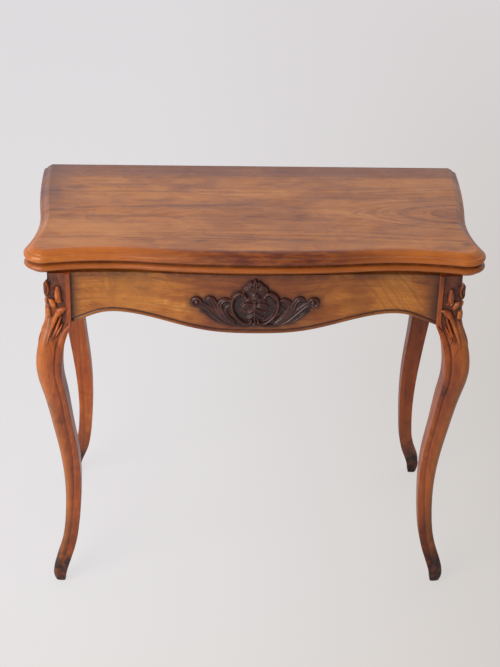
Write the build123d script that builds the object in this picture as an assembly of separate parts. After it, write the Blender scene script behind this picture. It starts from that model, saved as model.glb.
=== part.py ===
from build123d import *
import os
from math import hypot, sqrt

# A folding card table: a fold-over serpentine top that turns on its frame, on four cabriole legs.
# Millimetres, +Z up, +X along the table, front at -Y, origin on the floor under the middle.
# The two leaves lie face to face. The pair turns a quarter about a stud in the frame, which opens
# the card well, and then the upper leaf folds over on two brass hinges to make a square top.

# Overall sizes
table_height = 750.0
top_width = 860.0
leaf_thickness = 21.8

# Clearances
leaf_gap = 0.4          # between the closed playing faces
sliding_gap = 0.4       # between the lower leaf and the frame
joint_gap = 0.3         # between the leaves at the hinge line when open
glue_line = 0.1         # round a tenon, a housing or a stuck-on piece
let_in_gap = 0.2        # round a brass plate or cloth in its recess
screw_gap = 0.1         # round a screw in its hole
running_gap = 0.05      # radial, round a pin, a stud or a peg
overrun = 5.0           # how far a cutter passes the face that it opens

# Serpentine outline of the leaf: on every side a bow, a hollow and a rounded corner
edge_recess = 17.0      # from the bow's crown to the bottom of the hollow
corner_end_reach = 1.0  # how far the corner passes the bow's crown at the leaf's end
corner_front_setback = 3.0  # how far it stays behind the front bow's crown
corner_radius = 38.0
recess_place_share = 0.625

# Moulded edge: insets from the outline and heights from the playing face
moulding_inset = 18.0
moulding_step_inset = 7.5
moulding_step_height = 14.6
torus_inset = 5.0
torus_height = 13.4
torus_crown_height = 7.6
torus_foot_inset = 3.2
cove_inset = 12.0
cove_step_inset = 7.0
cove_step_height = 17.4
cove_torus_height = 15.8

# Baize, let into both playing faces
baize_margin = 62.0
baize_thickness = 0.8
baize_recess = 1.0

# Posts and cabriole legs
post_size = 45.5
end_overhang = 40.0     # from the leaf's end to the post's outer face
front_overhang = 9.0    # from the leaf's front to the post's outer face
leg_corner_radius = 5.0
leg_shoulder = 40.0     # the post's outer face runs this far above the apron's foot
leg_shares = (
    # height up to the apron, outer face and inner face beyond the post, of the post's size
    (0.0, 0.088, 0.736),
    (0.027, 0.187, 0.692),
    (0.133, -0.132, 0.253),
    (0.25, -0.385, 0.011),
    (0.367, -0.418, -0.077),
    (0.5, -0.275, -0.033),
    (0.633, -0.011, 0.165),
    (0.75, 0.264, 0.33),
    (0.817, 0.44, 0.44),
    (0.867, 0.484, 0.44),
    (0.917, 0.418, 0.363),
    (0.958, 0.275, 0.231),
)
shoulder_out_share = 0.066

# Aprons
apron_setback = 7.0     # from the post's outer face to the apron's face
apron_thickness = 20.0
apron_post_drop = 105.6
apron_arch_drop = 83.0
apron_centre_drop = 123.6
side_arch_drop = 88.0
side_centre_drop = 110.0
apron_bow = 6.0
bottom_edge_shares = (
    # along the half apron, then from the centre's drop to the arch's
    (0.0, 0.0), (0.25, 0.106), (0.41, 0.383), (0.573, 0.745), (0.684, 0.936), (0.766, 1.0),
)
bottom_return_shares = (
    # along the half apron, then from the arch's drop to the post's
    (0.848, 0.125), (0.904, 0.417), (1.0, 1.0),
)
bow_shares = (
    # along the half apron, then how far the face stands out, of the bow
    (0.35, 0.45), (0.7, -0.5), (1.0, 0.0),
)
bead_height = 6.5
bead_groove = 1.2
tenon_thickness = 9.0
tenon_length = 22.0
tenon_height = 60.0
tenon_top_drop = 20.0

# Card well and swivel board
well_depth = 66.0
well_floor_thickness = 6.0
batten_height = 8.0
batten_width = 10.0
divider_thickness = 18.0
divider_place = 3.0     # the divider's middle, beyond the table's middle
block_height = 14.0
block_reach = 42.0
board_thickness = 18.0
board_width = 228.0
housing_depth = 8.0

# Pivot under the lower leaf
pivot_plate_size = 72.0
pivot_plate_thickness = 4.0
pivot_plate_corner = 6.0
stud_radius = 8.0
stud_end = 4.0          # how far the stud passes its nut
washer_radius = 19.0
washer_thickness = 2.5
washer_gap = 0.3
nut_width = 24.0
nut_height = 10.0
pivot_screw_place = 27.0
pivot_screw_length = 14.0
pivot_screw_radius = 2.2
pivot_screw_head = 4.2
peg_circle = 55.0
peg_radius = 5.0
peg_gap = 0.3
peg_seat = 12.0
peg_drop = 15.0

# Hinges at the back edge
hinge_length = 44.0
hinge_margin = 12.0
hinge_plate_width = 21.0
hinge_plate_thickness = 2.0
knuckle_radius = 3.0
knuckle_gap = 0.3
knuckle_count = 5
hinge_pin_radius = 1.5
hinge_screw_count = 3
hinge_screw_margin = 8.0
hinge_screw_length = 11.0
hinge_screw_radius = 1.4
hinge_screw_head = 2.8
screw_slot_share = 0.22

# Carving stuck on the front apron
carving_half_width = 121.0
carving_height = 95.0
carving_foot_drop = 104.0
carving_relief = 7.0
boss_half_width = 30.0
boss_half_height = 25.0
boss_relief = 6.0
boss_height_share = 0.38
carving_outline_shares = (
    # along the half width, then up the height
    (0.22, 0.02), (0.37, 0.2), (0.5, 0.22), (0.66, 0.16), (0.84, 0.3), (1.0, 0.5),
    (0.94, 0.62), (0.8, 0.52), (0.6, 0.5), (0.42, 0.56), (0.33, 0.74), (0.19, 0.8), (0.13, 0.95),
)

# Places worked out from the sizes above
half_width = top_width / 2
leaf_depth = half_width
hinge_y = leaf_depth / 2
leaf_back = hinge_y - joint_gap / 2
play_z = table_height - leaf_thickness - leaf_gap / 2
lower_face = play_z - leaf_gap / 2
upper_face = play_z + leaf_gap / 2
leaf_foot = lower_face - leaf_thickness
frame_top = leaf_foot - sliding_gap
apron_foot = frame_top - apron_post_drop
post_x = half_width - end_overhang
post_y = hinge_y - front_overhang
seam_x = post_x - post_size
seam_y = post_y - post_size
inner_x = post_x - apron_setback - apron_thickness
inner_y = post_y - apron_setback - apron_thickness
well_floor_top = frame_top - well_depth
well_floor_foot = well_floor_top - well_floor_thickness
divider_left = divider_place - divider_thickness / 2
divider_right = divider_place + divider_thickness / 2
board_foot = frame_top - board_thickness
pivot = (leaf_depth / 4, leaf_depth / 4)
recess_place = half_width * recess_place_share
recess_reach = half_width - edge_recess
corner_end = half_width + corner_end_reach - corner_radius
corner_front = half_width - corner_front_setback - corner_radius


def box(x, y, z):
    """A block from three pairs of limits."""
    size = [high - low for low, high in (x, y, z)]
    return Pos(x[0], y[0], z[0]) * Box(*size, align=Align.MIN)


def plate(outline, low, high):
    """A flat face in plan, raised between two heights."""
    return Pos(0, 0, low) * extrude(outline, high - low)


def group(solids):
    """Several separate solids as one node."""
    return Compound(children=list(solids))


def recess_radius(corner):
    """The hollow's radius, from running smoothly into the corner's round."""
    across = recess_reach - corner[0]
    along = corner[1] - recess_place
    return (across**2 + along**2 - corner_radius**2) / (2 * (corner_radius - across))


def toward(start, end, distance):
    """The point that lies so far from the start on the way to the end."""
    share = distance / hypot(end[0] - start[0], end[1] - start[1])
    return (start[0] + (end[0] - start[0]) * share, start[1] + (end[1] - start[1]) * share)


def crossing(middle, radius, other, other_radius):
    """Where two circles cross, on the side that lies nearer to the table's middle."""
    span = hypot(other[0] - middle[0], other[1] - middle[1])
    along = (radius**2 - other_radius**2 + span**2) / (2 * span)
    off = sqrt(radius**2 - along**2)
    foot = toward(middle, other, along)
    step = ((other[1] - middle[1]) / span * off, (middle[0] - other[0]) / span * off)
    ends = [(foot[0] + step[0], foot[1] + step[1]), (foot[0] - step[0], foot[1] - step[1])]
    return min(ends, key=sum)


def side_arcs(corner, inset, rounded):
    """Half of one side, from its bow's crown to the corner, as middles and ends of arcs.

    Places are (out, along) from the middle of the open top. The corner is given the same way.
    """
    hollow_radius = recess_radius(corner)
    hollow = (recess_reach + hollow_radius, recess_place)
    bow_radius = (edge_recess**2 + recess_place**2) / (2 * edge_recess) - hollow_radius
    bow = (half_width - bow_radius, 0)
    meeting = toward(bow, hollow, bow_radius - inset)
    arcs = [(bow, (half_width - inset, 0), meeting)]
    if rounded:
        leaving = toward(hollow, corner, hollow_radius + inset)
        reach = (corner_radius - inset) / sqrt(2)
        diagonal = (corner[0] + reach, corner[1] + reach)
        return arcs + [(hollow, meeting, leaving), (corner, leaving, diagonal)]
    other_radius = recess_radius(corner[::-1])
    other = (recess_place, recess_reach + other_radius)
    point = crossing(hollow, hollow_radius + inset, other, other_radius + inset)
    return arcs + [(hollow, meeting, point)]


def arc_between(middle, start, end):
    """The short arc about a middle point."""
    radius = hypot(start[0] - middle[0], start[1] - middle[1])
    half_way = ((start[0] + end[0]) / 2, (start[1] + end[1]) / 2)
    return ThreePointArc(start, toward(middle, half_way, radius), end)


def edge_path(inset, rounded=True):
    """The leaf's moulded outline, from the back right corner round the front to the back left."""
    arcs = []
    for middle, start, end in side_arcs((corner_end, corner_front), inset, rounded):
        arcs.append(((middle[0], -middle[1]), (start[0], -start[1]), (end[0], -end[1])))
    for middle, start, end in reversed(side_arcs((corner_front, corner_end), inset, rounded)):
        arcs.append(((middle[1], -middle[0]), (end[1], -end[0]), (start[1], -start[0])))
    left = [((-m[0], m[1]), (-e[0], e[1]), (-s[0], s[1])) for m, s, e in reversed(arcs)]
    return [Pos(0, leaf_back, 0) * arc_between(*arc) for arc in arcs + left]


def leaf_plan(inset, rounded=True):
    """The leaf's plan, drawn in from its outline by the inset."""
    arcs = edge_path(inset, rounded)
    back = Line(arcs[-1] @ 1, arcs[0] @ 0)
    return make_face([curve.edge() for curve in arcs + [back]])


def torus_curves(far_inset, far_height, near_inset, crown_height):
    """A torus as two quarter ellipses that meet upright at the outline."""
    far = EllipticalCenterArc((-far_inset, crown_height), far_inset, far_height - crown_height,
                              start_angle=0, arc_size=90)
    near = EllipticalCenterArc((-near_inset, crown_height), near_inset, crown_height,
                               start_angle=270, arc_size=90)
    return [far, near]


def moulding_cutter(curves, far_inset, up):
    """What a moulding plane takes off the leaf's edge. Heights count from the playing face."""
    outer = Polyline((-far_inset, leaf_thickness), (-far_inset, leaf_thickness + overrun),
                     (overrun, leaf_thickness + overrun), (overrun, -overrun),
                     (-torus_foot_inset, -overrun), (-torus_foot_inset, 0))
    face = make_face([edge for curve in curves + [outer] for edge in curve.edges()])
    if not up:
        face = face.mirror(Plane.XZ)
    place = Plane(origin=(half_width, leaf_back, 0), x_dir=(1, 0, 0), z_dir=(0, -1, 0))
    path = Wire([curve.edge() for curve in edge_path(0)])
    return sweep(place * face, path=path)


def leaf_blank():
    """The leaf before its edge is moulded, a little too wide."""
    return plate(leaf_plan(-overrun / 2), 0, leaf_thickness)


def upper_moulding():
    """Ovolo, step and torus, from the table top down to the gap."""
    ovolo = EllipticalCenterArc(
        (-moulding_inset, moulding_step_height), moulding_inset - moulding_step_inset,
        leaf_thickness - moulding_step_height, start_angle=0, arc_size=90)
    step = Polyline((-moulding_step_inset, moulding_step_height),
                    (-moulding_step_inset, torus_height), (-torus_inset, torus_height))
    torus = torus_curves(torus_inset, torus_height, torus_foot_inset, torus_crown_height)
    return moulding_cutter([ovolo, step] + torus, moulding_inset, True)


def lower_moulding():
    """Torus, step and cove, from the gap down to the underside."""
    torus = torus_curves(torus_inset, cove_torus_height, torus_foot_inset, torus_crown_height)
    step = Polyline((-torus_inset, cove_torus_height), (-cove_step_inset, cove_torus_height),
                    (-cove_step_inset, cove_step_height))
    cove = EllipticalCenterArc(
        (-cove_step_inset, leaf_thickness), cove_inset - cove_step_inset,
        leaf_thickness - cove_step_height, start_angle=180, arc_size=90)
    return moulding_cutter(torus + [step, cove], cove_inset, False)


def hinge_middles():
    """Where the hinges lie along the hinge line."""
    reach = half_width - hinge_margin - hinge_length / 2
    return {"left": -reach, "right": reach}


def screw(head, shank, length):
    """A countersunk screw pointing down from the origin."""
    outline = Polyline((0, 0), (head, 0), (shank, shank - head), (shank, shank - length),
                       (0, -length), (0, 0))
    return revolve(Plane.XZ * make_face(outline.edges()), Axis.Z)


def screw_hole(head, shank, length):
    """The hole that the screw sits in, open above."""
    mouth = plate(Circle(head + screw_gap), 0, overrun)
    return mouth + screw(head + screw_gap, shank + screw_gap, length + screw_gap)


def slotted(body, head):
    """The screw with its driver slot."""
    slot = head * screw_slot_share
    return body - Box(2 * head + overrun, slot, 2 * slot)


def hinge_screw_places(middle):
    """The screws' holes in one hinge plate, in a line."""
    reach = hinge_length / 2 - hinge_screw_margin
    step = 2 * reach / (hinge_screw_count - 1)
    y = hinge_y - (hinge_plate_width + knuckle_radius) / 2
    return [(middle - reach + step * turn, y) for turn in range(hinge_screw_count)]


def hinge_mortise(middle):
    """The room for a hinge in the leaf below the playing face at height zero."""
    half = hinge_length / 2 + let_in_gap
    depth = hinge_plate_thickness + let_in_gap
    front = hinge_y - hinge_plate_width - let_in_gap
    room = box((middle - half, middle + half), (front, hinge_y + overrun), (-depth, overrun))
    axle = Pos(middle, hinge_y, play_z - lower_face) * Rot(0, 90, 0) * Cylinder(
        knuckle_radius + knuckle_gap, 2 * half)
    hole = screw_hole(hinge_screw_head, hinge_screw_radius, hinge_screw_length)
    holes = [Pos(x, y, 0) * hole for x, y in hinge_screw_places(middle)]
    return [room, axle] + holes


def play_cuts():
    """What is let into a playing face, with the face at height zero and the leaf below it."""
    cuts = [plate(leaf_plan(baize_margin, False), -baize_recess, overrun)]
    for middle in hinge_middles().values():
        cuts += hinge_mortise(middle)
    return cuts


def turned_over(shape):
    """The lower leaf's shape as it stands in the upper leaf, mirrored in the gap."""
    return shape.mirror(Plane.XY)


def upper_leaf():
    leaf = leaf_blank() - upper_moulding()
    for cut in play_cuts():
        leaf -= turned_over(cut)
    return Pos(0, 0, upper_face) * leaf


def lower_leaf():
    leaf = turned_over(leaf_blank()) - lower_moulding()
    for cut in play_cuts() + pivot_cuts():
        leaf -= cut
    return Pos(0, 0, lower_face) * leaf


def baize():
    """One cloth, with its upper side at height zero."""
    cloth = leaf_plan(baize_margin + let_in_gap, False)
    return plate(cloth, -baize_thickness, 0)


def lower_baize():
    return Pos(0, 0, lower_face - baize_recess + baize_thickness) * baize()


def upper_baize():
    return Pos(0, 0, upper_face + baize_recess - baize_thickness) * turned_over(baize())


def knuckles(middle, first):
    """Every second knuckle of a hinge, from the first or from the second."""
    pitch = hinge_length / knuckle_count
    length = pitch - knuckle_gap
    solids = []
    for turn in range(first, knuckle_count, 2):
        x = middle - hinge_length / 2 + pitch * (turn + 0.5)
        tongue = box((x - length / 2, x + length / 2), (-2 * knuckle_radius, 0),
                     (lower_face - play_z - hinge_plate_thickness, lower_face - play_z))
        barrel = Pos(x, 0, 0) * Rot(0, 90, 0) * Cylinder(knuckle_radius, length)
        solids.append(barrel + tongue)
    return solids


def hinge_plate(middle, first):
    """One leaf of a brass hinge below the gap, with its knuckles on the hinge line."""
    half = hinge_length / 2
    top = lower_face - play_z
    flap = box((middle - half, middle + half),
               (-hinge_plate_width, -knuckle_radius - knuckle_gap),
               (top - hinge_plate_thickness, top))
    for knuckle in knuckles(middle, first):
        flap += knuckle
    flap -= Pos(middle, 0, 0) * Rot(0, 90, 0) * Cylinder(
        hinge_pin_radius + running_gap, hinge_length + overrun)
    hole = screw_hole(hinge_screw_head, hinge_screw_radius, hinge_screw_length)
    for x, y in hinge_screw_places(middle):
        flap -= Pos(x, y - hinge_y, top) * hole
    return flap


def hinge_plate_lower(middle):
    return Pos(0, hinge_y, play_z) * hinge_plate(middle, 0)


def hinge_plate_upper(middle):
    return Pos(0, hinge_y, play_z) * turned_over(hinge_plate(middle, 1))


def hinge_pin(middle):
    length = hinge_length - knuckle_gap
    return Pos(middle, hinge_y, play_z) * Rot(0, 90, 0) * Cylinder(hinge_pin_radius, length)


def hinge_screws():
    """The screws of both hinges, flush with a playing face at height zero."""
    places = []
    for middle in hinge_middles().values():
        places += hinge_screw_places(middle)
    body = slotted(screw(hinge_screw_head, hinge_screw_radius, hinge_screw_length),
                   hinge_screw_head)
    return [Pos(x, y, 0) * body for x, y in places]


def hinge_screws_lower():
    return group(Pos(0, 0, lower_face) * solid for solid in hinge_screws())


def hinge_screws_upper():
    return group(Pos(0, 0, upper_face) * turned_over(solid) for solid in hinge_screws())


def at_pivot(shape, z):
    return Pos(pivot[0], pivot[1], z) * shape


def pivot_flange(grow):
    """The square of the pivot plate, or of its recess."""
    side = pivot_plate_size + 2 * grow
    return RectangleRounded(side, side, pivot_plate_corner + grow)


def pivot_screw_places():
    return [(x, y) for x in (-pivot_screw_place, pivot_screw_place)
            for y in (-pivot_screw_place, pivot_screw_place)]


def peg_place():
    """The stop peg at rest, seen from the pivot."""
    return (-peg_circle, 0)


def pivot_cuts():
    """The pivot's recess and the peg's socket, with the playing face at height zero."""
    foot = -leaf_thickness
    recess = plate(pivot_flange(let_in_gap), -overrun, pivot_plate_thickness + let_in_gap)
    socket = Pos(*peg_place(), 0) * Cylinder(peg_radius + running_gap, 2 * peg_seat)
    hole = turned_over(screw_hole(pivot_screw_head, pivot_screw_radius, pivot_screw_length))
    holes = [Pos(x, y, 0) * hole for x, y in pivot_screw_places()]
    return [at_pivot(cut, foot) for cut in [recess, socket] + holes]


def nut_top():
    return board_foot - washer_gap - washer_thickness


def pivot_plate():
    """A square iron flange let in flush under the leaf, with its turning stud."""
    flange = plate(pivot_flange(0), 0, pivot_plate_thickness)
    stud_foot = nut_top() - nut_height - stud_end - leaf_foot
    flange += plate(Circle(stud_radius), stud_foot, pivot_plate_thickness)
    hole = turned_over(screw_hole(pivot_screw_head, pivot_screw_radius, pivot_screw_length))
    for x, y in pivot_screw_places():
        flange -= Pos(x, y, 0) * hole
    return at_pivot(flange, leaf_foot)


def pivot_screws():
    body = turned_over(slotted(screw(pivot_screw_head, pivot_screw_radius, pivot_screw_length),
                               pivot_screw_head))
    return group(at_pivot(Pos(x, y, 0) * body, leaf_foot) for x, y in pivot_screw_places())


def pivot_washer():
    ring = Circle(washer_radius) - Circle(stud_radius + running_gap)
    return at_pivot(plate(ring, 0, washer_thickness), nut_top())


def pivot_nut():
    hexagon = RegularPolygon(nut_width / 2, 6, major_radius=False)
    ring = hexagon - Circle(stud_radius + running_gap)
    return at_pivot(plate(ring, -nut_height, 0), nut_top())


def stop_peg():
    """The peg that runs in the swivel board's slot and stops the turn at both ends."""
    x, y = peg_place()
    peg = plate(Circle(peg_radius), -peg_drop, peg_seat - glue_line)
    return at_pivot(Pos(x, y, 0) * peg, leaf_foot)


def swivel_board():
    """The board that carries the pivot, housed in the front and back aprons."""
    reach = inner_y + housing_depth - glue_line
    board = box((divider_right, divider_right + board_width), (-reach, reach),
                (board_foot, frame_top))
    hole = Cylinder(stud_radius + running_gap, 2 * board_thickness + overrun)
    track = CenterArc((0, 0), peg_circle, 180, 90)
    slot = SlotArc(track.edge(), 2 * (peg_radius + peg_gap))
    board -= at_pivot(hole, frame_top)
    board -= at_pivot(plate(slot, -board_thickness - overrun, overrun), frame_top)
    return board


def board_housing(side):
    """The trench for the swivel board in the front (-1) or back (1) apron."""
    y = sorted((side * (inner_y - overrun), side * (inner_y + housing_depth)))
    return box((divider_right - glue_line, divider_right + board_width + glue_line), y,
               (board_foot - glue_line, frame_top + overrun))


def leg_outline(outer, inner):
    """The sawn pattern of a leg, as heights against distance from the table's middle."""
    size = post_size
    rows = [(height * apron_foot, outer + out * size, inner + back * size)
            for height, out, back in leg_shares]
    shoulder = (outer + shoulder_out_share * size, apron_foot)
    outside = [(far, z) for z, far, near in rows] + [shoulder, (outer, apron_foot + leg_shoulder)]
    inside = [(near, z) for z, far, near in rows] + [(inner, apron_foot)]
    foot = Line(inside[0], outside[0])
    front = Spline(*outside)
    back = Spline(*inside)
    post = Polyline(outside[-1], (outer, frame_top), (inner, frame_top), inside[-1])
    return make_face([edge for curve in (foot, front, post, back) for edge in curve.edges()])


def mortises():
    """The two tenon mortises of the back right post."""
    foot = frame_top - tenon_top_drop - tenon_height - glue_line
    top = frame_top - tenon_top_drop + glue_line
    half = tenon_thickness / 2 + glue_line
    deep = tenon_length + glue_line
    y = inner_y + apron_thickness / 2
    x = inner_x + apron_thickness / 2
    across = box((seam_x - overrun, seam_x + deep), (y - half, y + half), (foot, top))
    along = box((x - half, x + half), (seam_y - overrun, seam_y + deep), (foot, top))
    return [across, along]


def leg(side, end):
    """One cabriole leg, sawn to the same pattern on two faces. Side and end are signs."""
    reach = top_width
    across = extrude(Plane.XZ * leg_outline(post_x, seam_x), reach, both=True)
    along = extrude(Plane.YZ * leg_outline(post_y, seam_y), reach, both=True)
    solid = (across & along).solid()
    arris = solid.edges().sort_by(lambda edge: edge.center().X + edge.center().Y)
    ridge = [edge for edge in arris[-6:] if edge.length > leg_shoulder]
    solid = solid.fillet(leg_corner_radius, ridge[-2:])
    for mortise in mortises():
        solid -= mortise
    if side < 0:
        solid = solid.mirror(Plane.YZ)
    if end < 0:
        solid = solid.mirror(Plane.XZ)
    return solid


def bottom_edge(half, centre_drop, arch_drop):
    """The shaped lower edge of an apron as points, from its middle to the post."""
    points = []
    for along, share in bottom_edge_shares:
        points.append((along * half, frame_top - centre_drop + share * (centre_drop - arch_drop)))
    for along, share in bottom_return_shares:
        drop = arch_drop + share * (apron_post_drop - arch_drop)
        points.append((along * half, frame_top - drop))
    return points


def apron_elevation(half, centre_drop, arch_drop, rise=0.0):
    """The apron seen from the front, with its lower edge raised if asked."""
    right = bottom_edge(half, centre_drop, arch_drop)
    left = [(-x, z) for x, z in reversed(right[1:])]
    points = [(x, z + rise) for x, z in left + right]
    lower = Spline(*points)
    upper = Polyline(points[-1], (half, frame_top), (-half, frame_top), points[0])
    return make_face(lower.edges() + upper.edges())


def tenons(half, thickness_middle):
    """The tenons at both ends of an apron that runs along X."""
    foot = frame_top - tenon_top_drop - tenon_height
    top = frame_top - tenon_top_drop
    y = (thickness_middle - tenon_thickness / 2, thickness_middle + tenon_thickness / 2)
    return [box(x, y, (foot, top)) for x in
            ((-half - tenon_length, -half + overrun), (half - overrun, half + tenon_length))]


def bow_line(stand_off):
    """The front apron's face in plan, moved out by the stand-off."""
    face = post_y - apron_setback
    right = [(along * seam_x, -face - share * apron_bow - stand_off)
             for along, share in bow_shares]
    left = [(-x, y) for x, y in reversed(right)]
    return Spline(*left, (0, -face - apron_bow - stand_off), *right)


def bow_plan(near, far):
    """The plan between two lines that both follow the front apron's bow."""
    front = bow_line(far)
    back = bow_line(near)
    ends = [Line(front @ 0, back @ 0), Line(front @ 1, back @ 1)]
    return make_face([curve.edge() for curve in [front, back] + ends])


def front_apron():
    """The bowed front apron, with a bead along its shaped lower edge."""
    front = bow_line(0)
    back = Polyline(front @ 1, (seam_x, -inner_y), (-seam_x, -inner_y), front @ 0)
    plan = make_face(front.edges() + back.edges())
    elevation = apron_elevation(seam_x, apron_centre_drop, apron_arch_drop)
    solid = extrude(Plane.XZ * elevation, top_width, both=True) & plate(plan, 0, frame_top)
    upper = apron_elevation(seam_x, apron_centre_drop, apron_arch_drop, bead_height)
    lower = apron_elevation(seam_x, apron_centre_drop, apron_arch_drop, bead_height + bead_groove)
    groove = extrude(Plane.XZ * (upper - lower), top_width, both=True)
    skin = plate(bow_plan(-bead_groove, overrun), 0, table_height)
    solid -= groove & skin
    for tenon in tenons(seam_x, -inner_y - apron_thickness / 2):
        solid += tenon
    return solid - board_housing(-1)


def back_apron():
    """The plain rail at the back."""
    solid = box((-seam_x, seam_x), (inner_y, inner_y + apron_thickness), (apron_foot, frame_top))
    for tenon in tenons(seam_x, inner_y + apron_thickness / 2):
        solid += tenon
    return solid - board_housing(1)


def side_apron(side):
    """The apron at the left (-1) or right (1) end, made along X and turned."""
    elevation = apron_elevation(seam_y, side_centre_drop, side_arch_drop)
    solid = extrude(Plane.XZ * elevation, apron_thickness / 2, both=True)
    for tenon in tenons(seam_y, 0):
        solid += tenon
    return Pos(side * (inner_x + apron_thickness / 2), 0, 0) * Rot(0, 0, 90) * solid


def carving_silhouette():
    """The outline of the scrolled carving, the same on both sides."""
    foot = frame_top - carving_foot_drop
    right = [(x * carving_half_width, foot + z * carving_height)
             for x, z in carving_outline_shares]
    left = [(-x, z) for x, z in reversed(right)]
    crest = (0, foot + carving_height)
    base = (0, foot)
    points = [base] + right + [crest] + left
    return make_face(Spline(*points, periodic=True).edges())


def apron_carving():
    """The carved cartouche and scrolls, as one raised piece with a domed middle."""
    blank = extrude(Plane.XZ * carving_silhouette(), top_width, both=True)
    solid = blank & plate(bow_plan(glue_line, glue_line + carving_relief), 0, table_height)
    foot = frame_top - carving_foot_drop
    face = -(post_y - apron_setback + apron_bow + carving_relief)
    dome = scale(Sphere(1), by=(boss_half_width, boss_relief, boss_half_height))
    return solid + Pos(0, face, foot + boss_height_share * carving_height) * dome


def well_divider():
    return box((divider_left, divider_right), (-inner_y, inner_y),
               (well_floor_foot - batten_height, frame_top))


def post_notches(low, high):
    """The posts' inner corners, which the boards inside the frame are cut round."""
    notches = []
    for side in (-1, 1):
        for end in (-1, 1):
            x = sorted((side * (seam_x - glue_line), side * (inner_x + overrun)))
            y = sorted((end * (seam_y - glue_line), end * (inner_y + overrun)))
            notches.append(box(x, y, (low, high)))
    return notches


def well_floor():
    """The bottom of the card well, notched round the two left posts."""
    floor = box((-inner_x, divider_left), (-inner_y, inner_y), (well_floor_foot, well_floor_top))
    for notch in post_notches(well_floor_foot - overrun, well_floor_top + overrun):
        floor -= notch
    return floor


def well_battens():
    """The strips that carry the well's floor at the front, the back and the divider."""
    z = (well_floor_foot - batten_height, well_floor_foot)
    x = (-inner_x + block_reach + apron_thickness, divider_left)
    solids = []
    for end in (-1, 1):
        y = sorted((end * (inner_y - batten_width), end * inner_y))
        solids.append(box(x, y, z))
    reach = inner_y - batten_width - glue_line
    solids.append(box((divider_left - batten_width, divider_left), (-reach, reach), z))
    return group(solids)


def corner_blocks():
    """The four glue blocks behind the posts."""
    top = well_floor_foot
    corner = (seam_x, seam_y)
    outline = Polyline((corner[0] - block_reach, inner_y), (inner_x, corner[1] - block_reach),
                       (inner_x, corner[1]), corner, (corner[0], inner_y),
                       (corner[0] - block_reach, inner_y))
    block = plate(make_face(outline.edges()), top - block_height, top)
    blocks = []
    for side in (0, 1):
        for end in (0, 1):
            solid = block.mirror(Plane.YZ) if side else block
            blocks.append(solid.mirror(Plane.XZ) if end else solid)
    return group(blocks)


def sub_parts():
    """Every node by name."""
    parts = {
        "upper_leaf": upper_leaf(),
        "lower_leaf": lower_leaf(),
        "upper_baize": upper_baize(),
        "lower_baize": lower_baize(),
        "hinge_screws_upper": hinge_screws_upper(),
        "hinge_screws_lower": hinge_screws_lower(),
        "pivot_plate": pivot_plate(),
        "pivot_screws": pivot_screws(),
        "pivot_washer": pivot_washer(),
        "pivot_nut": pivot_nut(),
        "stop_peg": stop_peg(),
        "swivel_board": swivel_board(),
        "front_apron": front_apron(),
        "back_apron": back_apron(),
        "side_apron_left": side_apron(-1),
        "side_apron_right": side_apron(1),
        "apron_carving": apron_carving(),
        "well_divider": well_divider(),
        "well_floor": well_floor(),
        "well_battens": well_battens(),
        "corner_blocks": corner_blocks(),
        "leg_front_left": leg(-1, -1),
        "leg_front_right": leg(1, -1),
        "leg_back_left": leg(-1, 1),
        "leg_back_right": leg(1, 1),
    }
    for name, middle in hinge_middles().items():
        parts[f"hinge_plate_lower_{name}"] = hinge_plate_lower(middle)
        parts[f"hinge_plate_upper_{name}"] = hinge_plate_upper(middle)
        parts[f"hinge_pin_{name}"] = hinge_pin(middle)
    return parts


os.makedirs("parts", exist_ok=True)
for name, shape in sub_parts().items():
    export_step(shape, f"parts/{name}.step")
    print(name, len(shape.solids()), round(shape.volume))
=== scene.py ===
import math

import bmesh
import bpy
import numpy as np
from mathutils import Matrix, Vector


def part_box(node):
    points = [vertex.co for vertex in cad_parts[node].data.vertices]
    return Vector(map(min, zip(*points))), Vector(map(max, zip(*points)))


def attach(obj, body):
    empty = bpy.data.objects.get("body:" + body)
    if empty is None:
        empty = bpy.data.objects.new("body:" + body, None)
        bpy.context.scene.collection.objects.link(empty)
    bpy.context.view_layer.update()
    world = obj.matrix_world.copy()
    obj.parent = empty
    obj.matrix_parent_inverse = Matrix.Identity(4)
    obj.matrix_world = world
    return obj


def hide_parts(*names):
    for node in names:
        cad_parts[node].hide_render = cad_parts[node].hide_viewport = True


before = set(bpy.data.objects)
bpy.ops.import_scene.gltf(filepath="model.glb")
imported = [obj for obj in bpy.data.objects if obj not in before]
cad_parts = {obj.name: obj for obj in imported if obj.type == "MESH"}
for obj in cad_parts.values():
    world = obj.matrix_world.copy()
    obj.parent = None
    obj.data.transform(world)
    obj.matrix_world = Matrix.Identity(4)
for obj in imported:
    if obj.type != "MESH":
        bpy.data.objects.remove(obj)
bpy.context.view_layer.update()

# A folding card table in walnut, dressed round its construction. Metres, +Z up, front at -Y.

# Sizes read from the frame
upper_low, upper_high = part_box("upper_leaf")
lower_low, lower_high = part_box("lower_leaf")
carving_low, carving_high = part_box("apron_carving")
table_top, upper_face = upper_high.z, upper_low.z
lower_face, leaf_foot = lower_high.z, lower_low.z
leaf_back = upper_high.y
half_width = leaf_back - upper_low.y
leaf_thickness = table_top - upper_face
frame_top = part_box("front_apron")[1].z
inner_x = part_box("side_apron_right")[0].x
inner_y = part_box("well_divider")[1].y

# Serpentine outline of the leaf
edge_recess = 0.017
recess_reach = half_width - edge_recess
recess_place = 0.26875
corner_radius = 0.038
corner_proud = 0.001
corner_shy = 0.003
corner_end = half_width + corner_proud - corner_radius
corner_front = half_width - corner_shy - corner_radius

# Posts, legs and aprons
post_size = 0.0455
post_inset = 0.040
post_x = half_width - post_inset
post_y = 0.206
seam_x = post_x - post_size
seam_y = post_y - post_size
apron_foot = 0.600
apron_setback = 0.007
arris_radius = 0.005
shoulder_top = apron_foot + 0.040
shoulder_share = 0.066
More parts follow.
